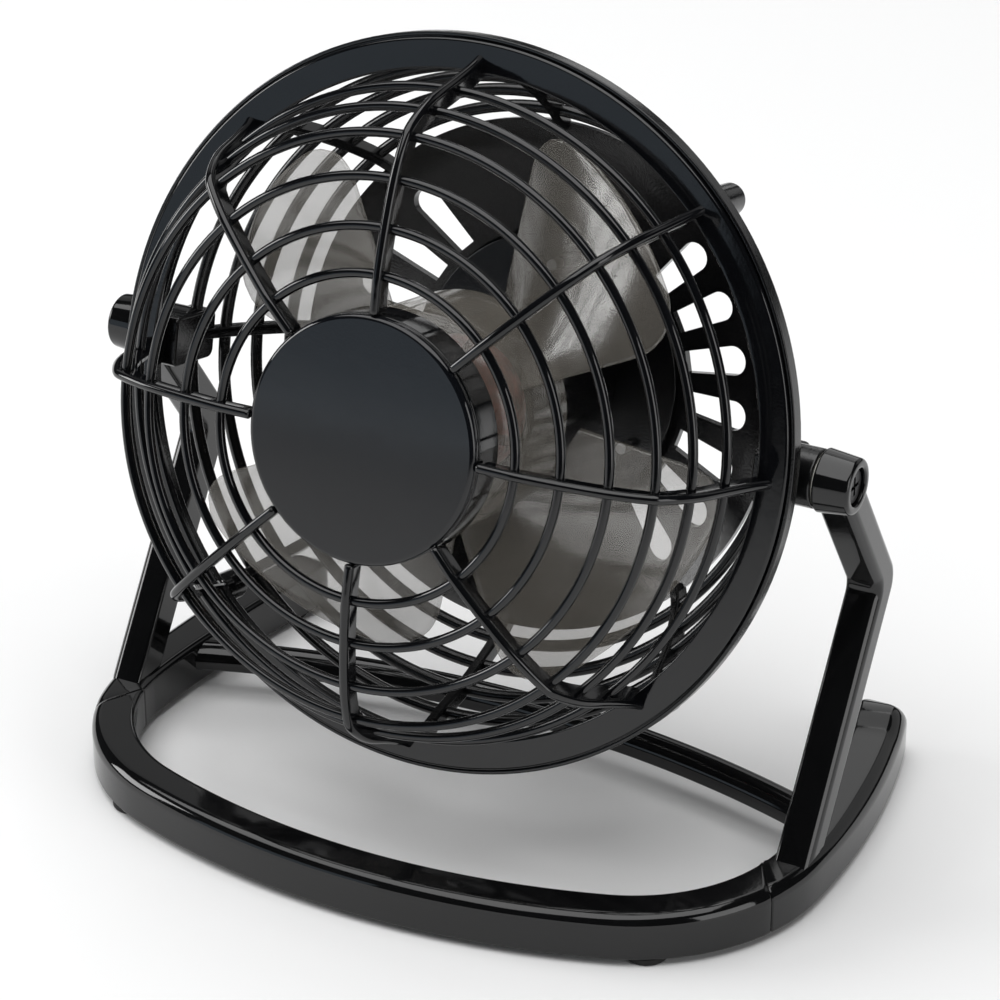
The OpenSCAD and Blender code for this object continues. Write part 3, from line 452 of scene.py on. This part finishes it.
def guard(bm):
    lathe(bm, outline([(FLANGE_IN, FLANGE_BACK, 0.25), (FLANGE_OUT, FLANGE_BACK, 0.2),
                       (FLANGE_OUT, FLANGE_FRONT, 0.55), (FLANGE_IN, FLANGE_FRONT, 0.35)]), RIM_STEPS, HEAD)
    for r, z in GUARD_RINGS:
        lathe(bm, circle(r, z, WIRE), RIM_STEPS, HEAD)
    turns = [math.radians(a) for a in range(-110, 111, 20)]
    bead = [(math.cos(a) * WIRE, math.sin(a) * WIRE) for a in turns]
    section = bead + SPOKE_WEB + [(out, -side) for out, side in reversed(SPOKE_WEB)]
    path = upright(SPOKE, 7)
    for k in range(RIBS):
        sweep(bm, path, section, Vector((0, -1, 0)), HEAD @ turned(360 / RIBS * k))
    lathe(bm, tube_profile(TUBE_IN, TUBE_OUT, TUBE_BACK, TUBE_FRONT, 0.3), HUB_STEPS, HEAD)
    lathe(bm, disc_profile(PLATE_R, PLATE_BACK, PLATE_FRONT), HUB_STEPS, HEAD)
    for place in around(4, 45, SCREW_CIRCLE, HEAD):
        lathe(bm, tube_profile(POST_BORE, POST_R, POST_BACK, POST_FRONT), 32, place)


make("guard", "head", guard, guard_black, "front_guard")

CAP_R, CAP_BACK, CAP_FRONT = 21.3, 39, 40.6


def cap(bm):
    lathe(bm, outline([(0, CAP_BACK, 0), (CAP_R, CAP_BACK, 0.2), (CAP_R, CAP_FRONT, 0.95),
                       (0, CAP_FRONT, 0)], 6), 160, HEAD)


make("cap", "head", cap, cap_black, "hub_cap")


# ---------------------------------------------------------------- head: rear shell

RIM_IN, RIM_LIP, RIM_OUT = 59.4, 64.3, 65
RIM_BACK, RIM_SEAT, RIM_FRONT = 7, 9.4, 10.4
REAR_RINGS = [(58.3, -1.6), (55.8, -8.7), (52.8, -15.2), (49.3, -21.4)]
REAR_RING_WIRE = 1.1
RIB = [(62, 8), (60.2, 3)] + REAR_RINGS + [(46, -25.2)]
RIB_DEEP, RIB_WIDE = 3, 2
SLEEVE_BORE, SLEEVE_R, SLEEVE_BACK, SLEEVE_FRONT = 2.1, 2.8, 0.5, 7.2     # round the guard's posts
BOSS_BORE, BOSS_R, BOSS_START, BOSS_END = 1.55, 5.2, 57.5, 66.1
BLOCK_START, BLOCK_END = 56.4, 61.6             # the block that carries each pivot boss, along x
DISH = [(46.9, -24.2), (43.6, -26.2), (40, -27.4), (25.1, -31.4)]
DISH_WALL = 1.8
SLOT_IN, SLOT_OUT = 27.6, 38                    # radii of an air slot's ends
SLOT_HALF, SLOT_STEP = 4, 15                    # half its width and its spacing, in degrees
DISH_CUT = (-40, -20)                           # a range of z that passes through the dish
MOTOR_BORE, MOTOR_TUBE_R, MOTOR_TUBE_BACK, MOTOR_TUBE_FRONT = 12.3, 14, -31, 4
POD_R, POD_BACK, POD_FRONT = 25.6, -31.8, -29.6
CORD_Z, CORD_NOTCH_R, CORD_HOLE_R = -35.4, 3.5, 2.65
CORD_WAY = moved(0, 0, CORD_Z) @ Matrix.Rotation(math.radians(90), 4, "X")


def rear_grille(bm):
    lathe(bm, outline([(RIM_IN, RIM_BACK, 0.3), (64.4, RIM_BACK, 0.5), (RIM_OUT, 7.6, 0.3),
                       (RIM_OUT, RIM_FRONT, 0.25), (RIM_LIP, RIM_FRONT, 0.2), (RIM_LIP, RIM_SEAT, 0),
                       (RIM_IN, RIM_SEAT, 0.3)], 3), RIM_STEPS, HEAD)
    for r, z in REAR_RINGS:
        lathe(bm, circle(r, z, REAR_RING_WIRE), RIM_STEPS, HEAD)
    out, across = RIB_DEEP / 2, RIB_WIDE / 2
    section = outline([(out, -across, 0.45), (out, across, 0.45), (-out, across, 0.45),
                       (-out, -across, 0.45)], 3)
    path = upright(RIB, 6)
    for k in range(RIBS):
        sweep(bm, path, section, Vector((0, 1, 0)), HEAD @ turned(360 / RIBS * k))
    for place in around(4, 45, SCREW_CIRCLE, HEAD):
        lathe(bm, tube_profile(SLEEVE_BORE, SLEEVE_R, SLEEVE_BACK, SLEEVE_FRONT, 0.34), 40, place)
    for side in (BASE, MIRROR_X):
        axle = HEAD @ side @ ALONG_X
        lathe(bm, tube_profile(BOSS_BORE, BOSS_R, BOSS_START, BOSS_END, 0.4), 64, axle)
        block = outline([(-4.6, -6, 1.6), (4.6, -6, 1.6), (4.6, 7.4, 1.2), (-4.6, 7.4, 1.2)], 5)
        prism(bm, block, BLOCK_START, BLOCK_END, 0.5, 0.9, 3, axle)


make("rear_grille", "head", rear_grille, shell_black, "rear_shell")


def carve(bm, name, body, knives, bevel):
    """Adds the carved body to bm, in its place on the head."""
    cut = baked(name, body, knives, bevel)
    cut.transform(HEAD)
    mesh = bpy.data.meshes.new(name + "_cut")
    cut.to_mesh(mesh)
    cut.free()
    bm.from_mesh(mesh)
    bpy.data.meshes.remove(mesh)


def air_slot():
    """The outline of one slot in the dish, on the x axis, with its outer end round."""
    half = math.radians(SLOT_HALF)
    x, y = SLOT_IN * math.cos(half), SLOT_IN * math.sin(half)
    middle, end_r = Vector((SLOT_OUT * math.cos(half), 0)), SLOT_OUT * math.sin(half)
    return [Vector((x, -y))] + [middle + polar(end_r, a) for a in range(-90, 91, 15)] + [Vector((x, y))]


def rear_dish(bm):
    body, knives = bmesh.new(), bmesh.new()
    behind = [Vector((r, z - DISH_WALL)) for r, z in reversed(DISH)]
    lathe(body, [Vector(p) for p in DISH] + behind, RIM_STEPS)
    for step in range(-3, 4):
        for side in (0, 180):
            prism(knives, air_slot(), *DISH_CUT, 0, 0, 1, turned(SLOT_STEP * step + side))
    lathe(knives, disc_profile(CORD_NOTCH_R, 25, 27, 0, 0), 40, CORD_WAY)
    carve(bm, "dish", body, knives, 0.28)
    lathe(bm, tube_profile(MOTOR_BORE + 0.05, POD_R, POD_BACK, POD_FRONT, 0.25), HUB_STEPS, HEAD)
    lathe(bm, tube_profile(MOTOR_BORE, MOTOR_TUBE_R, MOTOR_TUBE_BACK, MOTOR_TUBE_FRONT, 0.35), 96, HEAD)


make("rear_dish", "head", rear_dish, shell_black, "rear_shell", 50)


# ---------------------------------------------------------------- head: motor cover

COVER_BACK, COVER_FLOOR, COVER_FRONT = -40.5, -38.9, -31.8
COVER_SCREW_CIRCLE, COVER_SCREW_BORE, COVER_POST_R, SCREW_HEAD_R = 20.4, 1.1, 3, 2.1
SWITCH_HALF, SWITCH_BOTTOM, SWITCH_TOP = 6.6, 4.2, 13
VENT_HALF, VENT_STEP, VENT_BOTTOM, VENT_TOP = 0.7, 3.2, -15, -3


def box_outline(x0, x1, y0, y1, r, steps=4):
    return outline([(x0, y0, r), (x1, y0, r), (x1, y1, r), (x0, y1, r)], steps)


def motor_cover(bm):
    body, knives = bmesh.new(), bmesh.new()
    lathe(body, outline([(0, COVER_BACK, 0), (24.4, COVER_BACK, 3.2), (25, COVER_FRONT, 0.3),
                         (23.4, COVER_FRONT, 0.2), (22.8, COVER_FLOOR, 1.8), (0, COVER_FLOOR, 0)], 8), 144)
    prism(knives, box_outline(-SWITCH_HALF, SWITCH_HALF, SWITCH_BOTTOM, SWITCH_TOP, 0.4), -45, -35, 0, 0, 1)
    for screw in around(3, 90, COVER_SCREW_CIRCLE):
        lathe(knives, disc_profile(SCREW_HEAD_R, -42, -39.5, 0, 0), 32, screw)
    for k in range(-3, 4):
        x = VENT_STEP * k
        vent = box_outline(x - VENT_HALF, x + VENT_HALF, VENT_BOTTOM, VENT_TOP, 0.68, 5)
        prism(knives, vent, -45, -37, 0, 0, 1)
    lathe(knives, disc_profile(CORD_HOLE_R, 20, 30, 0, 0), 40, CORD_WAY)
    carve(bm, "cover", body, knives, 0.22)
    for screw in around(3, 90, COVER_SCREW_CIRCLE, HEAD):
        lathe(bm, tube_profile(COVER_SCREW_BORE, COVER_POST_R, -40.2, -32, 0.1), 40, screw)


make("motor_cover", "head", motor_cover, shell_black, "rear_cover", 50)


# ---------------------------------------------------------------- impeller

BLADES, BLADE_ROOT, BLADE_TIP = 4, 19.3, 50.0
BLADE_WALL, BLADE_EDGE, BLADE_CHORD = 1.2, 0.7, 44
BLADE_FIRST, BLADE_SPAN = 25.5, 58.5            # degrees
BLADE_FRONT, BLADE_DROP, BLADE_CAMBER = 17.2, 22.0, 2.2
TIP_START = 39                                  # the radius where the blade's tip begins to round off
WHEEL_R, WHEEL_IN, WHEEL_BACK = 20, 18.7, 3
COLLAR_BORE, COLLAR_R, COLLAR_BACK, COLLAR_FRONT = 1.02, 3.4, 12.4, 24.9  # round the shaft
WHEEL_WEB, WEB_BACK, WEB_FRONT = 1, 19, 22.2    # the webs between collar and wheel


def spread(n, edge, span):
    """n + 1 shares of a span from 0 to 1, with three close together at either end."""
    near = [0, edge * 0.12 / span, edge * 0.45 / span, edge / span]
    inner = [near[-1] + (1 - 2 * near[-1]) * i / n for i in range(1, n)]
    return near + inner + [1 - s for s in reversed(near)]


def blade_point(u, v, face):
    """A point of a blade, u of the way to its tip and v of the way along its arc; face is 1 for the front,
    -1 for the back."""
    reach = BLADE_TIP - BLADE_ROOT
    r = BLADE_ROOT + reach * u
    t = max(0, (r - TIP_START) / (BLADE_TIP - TIP_START))
    share = 0.6 + 0.4 * math.sqrt(max(0, 1 - t ** 3)) if u > 0 else 1.0
    s = 0.5 + (v - 0.5) * share
    a = math.radians(BLADE_FIRST + BLADE_SPAN * s)
    near = min((1 - u) * reach, v * BLADE_CHORD, (1 - v) * BLADE_CHORD)
    lens = math.sqrt(max(0, 1 - (1 - min(near / BLADE_EDGE, 1)) ** 2))
    camber = BLADE_CAMBER * math.sin(math.pi * s) * r / BLADE_TIP
    z = BLADE_FRONT - BLADE_DROP * s + camber + face * BLADE_WALL / 2 * lens
    return Vector((r * math.cos(a), r * math.sin(a), z))


def blades(bm):
    us = spread(22, BLADE_EDGE, BLADE_TIP - BLADE_ROOT)
    vs = spread(30, BLADE_EDGE, BLADE_CHORD)
    for blade in range(BLADES):
        to = HEAD @ turned(360 / BLADES * blade)
        for face in (1, -1):
            verts = [[bm.verts.new(to @ blade_point(u, v, face)) for v in vs] for u in us]
            for i in range(len(us) - 1):
                for j in range(len(vs) - 1):
                    quad = (verts[i][j], verts[i][j + 1], verts[i + 1][j + 1], verts[i + 1][j])
                    bm.faces.new(quad if face > 0 else quad[::-1])


def impeller(bm):
    blades(bm)
    lathe(bm, outline([(WHEEL_IN, WHEEL_BACK, 0.3), (WHEEL_R, WHEEL_BACK, 0.4), (WHEEL_R, 24.4, 6.6),
                       (0, 26, 0), (0, 24.7, 0), (WHEEL_IN, 23, 5.4)], 10), HUB_STEPS, HEAD)
    lathe(bm, tube_profile(COLLAR_BORE, COLLAR_R, COLLAR_BACK, COLLAR_FRONT, 0.2), 48, HEAD)
    web = box_outline(-WHEEL_IN - 0.2, WHEEL_IN + 0.2, -WHEEL_WEB / 2, WHEEL_WEB / 2, 0.15, 2)
    for a in (0, 60, 120):
        prism(bm, web, WEB_BACK, WEB_FRONT, 0.1, 0.1, 1, HEAD @ turned(a))


make("fan_wheel", "rotor", impeller, smoky_clear, "impeller", 45)


# ---------------------------------------------------------------- stand
# The base's plan is a front arc, two rounded corners and two side arcs, all tangent to each other.

FRONT_R, CORNER_R, SIDE_R, BAR_W, RUNNER_W = 143.0, 38.0, 165.0, 8.0, 9.6
FRONT_Y, HALF_WIDTH, SIDE_Y = -49.5, 72.75, 3
BASE_TOP, FOOT_H, TAIL = 10.0, 1.4, 49.5
PAD_RISE, PAD_START, PAD_LENGTH, TAIL_ROUND = 0.8, 35.5, 8.5, 5.5
OUTER_EDGE, INNER_EDGE = 2.4, 1.3
RUNNER_EDGE = 3.2                               # a runner's outer edge, away from the seam
FRONT_C, SIDE_C = Vector((0, FRONT_Y + FRONT_R)), Vector((HALF_WIDTH - SIDE_R, SIDE_Y))
WIDENING = 7.5                                  # degrees of the side arc until a runner is at its full width
SEAM_BOW = 1.2
SEAM_OUT, SEAM_IN = Vector((69.2, -21)), Vector((64.5, -13.5))    # two points of the right seam's line
SEAM_DIR = (SEAM_IN - SEAM_OUT).normalized()
SEAM_BACK = Vector((SEAM_DIR.y, -SEAM_DIR.x))


def angle_of(v):
    return math.degrees(math.atan2(v.y, v.x))


def eased(t):
    t = max(0.0, min(1.0, t))
    return t * t * (3 - 2 * t)


def corner_centre():
    """Centre of the rounded corner, which touches the front arc and the side arc from inside."""
    r1, r2, between = FRONT_R - CORNER_R, SIDE_R - CORNER_R, SIDE_C - FRONT_C
    d = between.length
    along = (d * d + r1 * r1 - r2 * r2) / (2 * d)
    u = between / d
    return FRONT_C + along * u + math.sqrt(r1 * r1 - along * along) * Vector((-u.y, u.x))


CORNER_C = corner_centre()
A0, A1 = angle_of(CORNER_C - FRONT_C), angle_of(CORNER_C - SIDE_C)


def seam_angle(r, behind=0.0):
    """Where the line of the seam, moved a little backwards, crosses the corner's arc of radius r."""
    low, high = A0, A1
    for _ in range(40):
        mid = (low + high) / 2
        if (CORNER_C + polar(r, mid) - SEAM_OUT).dot(SEAM_BACK) < behind:
            low = mid
        else:
            high = mid
    return low


SEAM_A = seam_angle(CORNER_R), seam_angle(CORNER_R - BAR_W)


def top_at(y):
    """Height of a bar's top, with the pad on the tail and the tail's rounded end."""
    top = BASE_TOP + PAD_RISE * eased((y - PAD_START) / PAD_LENGTH)
    over = min(TAIL_ROUND, max(0.0, y - (TAIL - TAIL_ROUND)))
    return top - TAIL_ROUND + math.sqrt(TAIL_ROUND ** 2 - over ** 2)


def bar_ring(p_out, p_in, edge=OUTER_EDGE, bow=0.0, inwards=0.0):
    """The section of a base bar between a point of its outer edge and one of its inner edge; it may be bowed
    forwards."""
    w = (p_in - p_out).length
    u = (p_in - p_out) / w
    most = 0.46 * w
    section = outline([(0, FOOT_H, min(0.4, most)), (0, BASE_TOP, min(edge, most)),
                       (w, BASE_TOP, min(INNER_EDGE, most)), (w, FOOT_H, min(0.4, most))], 6)
    if inwards:
        section = inset(section, inwards)
    ring = []
    for s in section:
        p = p_out + u * s.x
        share = max(0.0, min(1.0, s.x / w))
        p = p - SEAM_BACK * (4 * bow * share * (1 - share))
        stretch = (top_at(p.y) - FOOT_H) / (BASE_TOP - FOOT_H)
        ring.append(Vector((p.x, p.y, FOOT_H + (s.y - FOOT_H) * stretch)))
    return ring


def corner_pair(a_out, a_in):
    """Points of the corner's outer and inner arcs at the two angles."""
    return CORNER_C + polar(CORNER_R, a_out), CORNER_C + polar(CORNER_R - BAR_W, a_in)


def seam_ring(behind, inwards=0.0):
    """The section of a bar beside the bowed seam."""
    pair = corner_pair(seam_angle(CORNER_R, behind), seam_angle(CORNER_R - BAR_W, behind))
    return bar_ring(*pair, bow=SEAM_BOW, inwards=inwards)


def front_bar(bm):
    steps, turns = 24, 16
    rings = []
    for k in range(steps):
        a = -90 + (A0 + 90) * k / steps
        rings.append(bar_ring(FRONT_C + polar(FRONT_R, a), FRONT_C + polar(FRONT_R - BAR_W, a)))
    for k in range(turns):
        share = k / turns
        rings.append(bar_ring(*corner_pair(A0 + (SEAM_A[0] - A0) * share, A0 + (SEAM_A[1] - A0) * share)))
    rings += [seam_ring(-0.26), seam_ring(-0.05, 0.18)]
    mirrored = [[Vector((-p.x, p.y, p.z)) for p in ring] for ring in reversed(rings[1:])]
    skin(bm, mirrored + rings, caps=True)


make("front_bar_shell", "stand", front_bar, base_black, "front_bar")


def runner_mid(y):
    """The middle of a runner's width, at y along it."""
    return Vector((SIDE_C.x + math.sqrt((SIDE_R - RUNNER_W / 2) ** 2 - (y - SIDE_C.y) ** 2), y))


def runner(bm, side):
    turns, steps, nose = 7, 44, 12
    end = runner_mid(TAIL - RUNNER_W / 2)
    lean = angle_of(end - SIDE_C)
    rings = [seam_ring(0.05, 0.18), seam_ring(0.26)]
    for k in range(1, turns):
        rings.append(bar_ring(*corner_pair(*(a + (A1 - a) * k / turns for a in SEAM_A))))
    for k in range(steps + 1):
        a = A1 + (lean - A1) * k / steps
        w = BAR_W + (RUNNER_W - BAR_W) * min(1, (a - A1) / WIDENING)
        edge = OUTER_EDGE + (RUNNER_EDGE - OUTER_EDGE) * eased((a - A1) / 10)
        rings.append(bar_ring(SIDE_C + polar(SIDE_R, a), SIDE_C + polar(SIDE_R - w, a), edge))
    for k in range(1, nose):
        a = 90 * math.sin(math.pi / 2 * k / nose)
        rings.append(bar_ring(end + polar(RUNNER_W / 2, lean + a), end + polar(RUNNER_W / 2, lean + 180 - a),
                              RUNNER_EDGE))
    skin(bm, [[side @ p for p in ring] for ring in rings], caps=True)


for name, side in (("right", BASE), ("left", MIRROR_X)):
    make(name + "_runner_shell", "stand", lambda bm, side=side: runner(bm, side), base_black,
         name + "_runner")


REAR_BAR_R, REAR_BAR_BACK, REAR_BAR_W = 190.0, 21.5, 4.6
REAR_BAR_TOP, REAR_BAR_BOTTOM, REAR_BAR_REACH = 9.2, 4.4, 64.5


def rear_bar(bm):
    centre = Vector((0, REAR_BAR_BACK - REAR_BAR_R))
    section = outline([(0, REAR_BAR_TOP, 1.0), (-REAR_BAR_W, REAR_BAR_TOP, 3.4),
                       (-REAR_BAR_W, REAR_BAR_BOTTOM, 0.6), (0, REAR_BAR_BOTTOM, 0.6)], 7)
    rings = []
    reach = math.degrees(math.asin(REAR_BAR_REACH / (REAR_BAR_R - REAR_BAR_W / 2)))
    for k in range(65):
        a = math.radians(90 + reach - 2 * reach * k / 64)
        rings.append([Vector((centre.x + (REAR_BAR_R + s.x) * math.cos(a),
                              centre.y + (REAR_BAR_R + s.x) * math.sin(a), s.y)) for s in section])
    skin(bm, rings, caps=True)


make("rear_bar_shell", "stand", rear_bar, base_black, "rear_bar")


PAD_R, STEM_R, STEM_TOP = 3.9, 1.9, 4.8


def feet(bm):
    profile = outline([(0, 0, 0), (PAD_R, 0, 0.55), (PAD_R, FOOT_H, 0.2), (STEM_R, FOOT_H, 0.1),
                       (STEM_R, STEM_TOP, 0.3), (0, STEM_TOP, 0)], 5)
    for p in (CORNER_C + polar(CORNER_R - BAR_W / 2, -59), runner_mid(40)):
        for way in (1, -1):
            lathe(bm, profile, 48, moved(way * p.x, p.y))


make("feet", "stand", feet, rubber_black, "rubber_feet")

ARM_FOOT, ARM_KNEE, ARM_HEAD = Vector((-11.9, 10)), Vector((16, 51.5)), Vector((-1.3, 76))
ARM_DEPTH, ARM_IN, ARM_OUT = 7.0, 65.3, 71.8
BARREL_IN, BARREL_OUT, BARREL_FLOOR = 66.5, 72.9, 70.5
PIN_R, RECESS_R = 1.56, 3.3


def arm(bm, side):
    lower, upper = (ARM_KNEE - ARM_FOOT).normalized(), (ARM_HEAD - ARM_KNEE).normalized()
    back_low = Vector((lower.y, -lower.x)) * ARM_DEPTH
    back_up = Vector((upper.y, -upper.x)) * ARM_DEPTH
    half = math.acos(back_low.normalized().dot(back_up.normalized())) / 2
    knee = ARM_KNEE + (back_low + back_up).normalized() * ARM_DEPTH / math.cos(half)
    foot_x, foot_y = ARM_FOOT.x - 0.6, ARM_FOOT.y - 0.9
    shape = outline([(foot_x, foot_y, 0), (*ARM_KNEE, 2.6), (*ARM_HEAD, 0), (*(ARM_HEAD + back_up), 0),
                     (*knee, 6), (foot_x + ARM_DEPTH / lower.y, foot_y, 0)], 8)
    prism(bm, shape, ARM_IN, ARM_OUT, 0.8, 2.0, 7, side @ ALONG_X)
    barrel = outline([(PIN_R, BARREL_IN, 0.1), (5.6, BARREL_IN, 0.4), (4.9, BARREL_OUT, 0.75),
                      (RECESS_R, BARREL_OUT, 0.4), (RECESS_R, BARREL_FLOOR, 0.1),
                      (PIN_R, BARREL_FLOOR, 0.1)], 5)
    lathe(bm, barrel, 72, side @ Matrix.Translation(PIVOT) @ ALONG_X)


for name, side in (("right", BASE), ("left", MIRROR_X)):
    make(name + "_arm_shell", "stand", lambda bm, side=side: arm(bm, side), base_black,
         name + "_arm")


# ---------------------------------------------------------------- camera, floor and light

CAMERA_AT = (0.26644, -0.49890, 0.35142)
AZIMUTH, ELEVATION = math.radians(27.614), math.radians(27.322)
LENS, SENSOR = 129.15, 36

scene = bpy.context.scene
scene.view_settings.view_transform = "Standard"

camera = bpy.data.objects.new("camera", bpy.data.cameras.new("camera"))
scene.collection.objects.link(camera)
scene.camera = camera
camera.data.lens, camera.data.sensor_width = LENS, SENSOR
camera.data.clip_start, camera.data.clip_end = 0.01, 20
camera.location = CAMERA_AT
back = Vector((math.sin(AZIMUTH) * math.cos(ELEVATION), -math.cos(AZIMUTH) * math.cos(ELEVATION),
               math.sin(ELEVATION)))
camera.rotation_mode = "QUATERNION"
camera.rotation_quaternion = (-back).to_track_quat("-Z", "Y")


FLOOR_HALF = 4


def floor():
    bm = bmesh.new()
    bmesh.ops.create_grid(bm, x_segments=24, y_segments=24, size=FLOOR_HALF)
    mesh = bpy.data.meshes.new("floor")
    bm.to_mesh(mesh)
    bm.free()
    piece = bpy.data.objects.new("floor", mesh)
    scene.collection.objects.link(piece)
    mat, nt, shader = node_tree("floor")
    at = nt.nodes.new("ShaderNodeTexCoord").outputs["Object"]
    colour = mix(nt, noise(nt, at, 3, 3), (0.89, 0.89, 0.89), (0.91, 0.91, 0.91))
    nt.links.new(colour, shader.inputs["Base Color"])
    shader.inputs["Roughness"].default_value = 0.9
    shader.inputs["Specular IOR Level"].default_value = 0.1
    piece.data.materials.append(mat)


floor()


def panel(name, at, aim, size, power, colour=(1, 1, 1)):
    """A rectangular soft light of size (wide, high), in watts."""
    data = bpy.data.lights.new(name, "AREA")
    data.shape, data.size, data.size_y, data.energy, data.color = "RECTANGLE", size[0], size[1], power, colour
    light = bpy.data.objects.new(name, data)
    scene.collection.objects.link(light)
    light.location = at
    light.rotation_mode = "QUATERNION"
    light.rotation_quaternion = (Vector(aim) - Vector(at)).to_track_quat("-Z", "Y")


panel("overhead", (-0.15, -0.15, 1.6), (0, 0, 0), (2.2, 2.0), 36)
panel("front_left", (-0.964, -1.376, 0.2), (0, 0, 0.1), (0.93, 0.62), 1.2, (0.74, 0.87, 1.0))
panel("left", (-1.4, -0.45, 0.55), (0, 0, 0.08), (0.7, 0.6), 9)
panel("back_left", (-1.02, 0.985, 0.85), (0, 0, 0.05), (0.75, 0.7), 0.5)
panel("back", (-0.26, 1.24, 0.62), (0.05, 0, 0), (0.32, 0.75), 0.7)
panel("back_high", (-0.34, 0.91, 1.03), (0.06, 0.04, 0), (0.45, 0.32), 0.42)
panel("back_right", (0.5, 1.3, 0.65), (0, 0, 0.02), (1.1, 0.9), 1.3)
panel("right", (1.4, -0.35, 0.45), (0, 0, 0.05), (0.8, 0.9), 6)

world = bpy.data.worlds.new("studio")
scene.world = world
world.use_nodes = True
world.node_tree.nodes["Background"].inputs["Color"].default_value = (0.93, 0.96, 1.0, 1)
world.node_tree.nodes["Background"].inputs["Strength"].default_value = 0.02
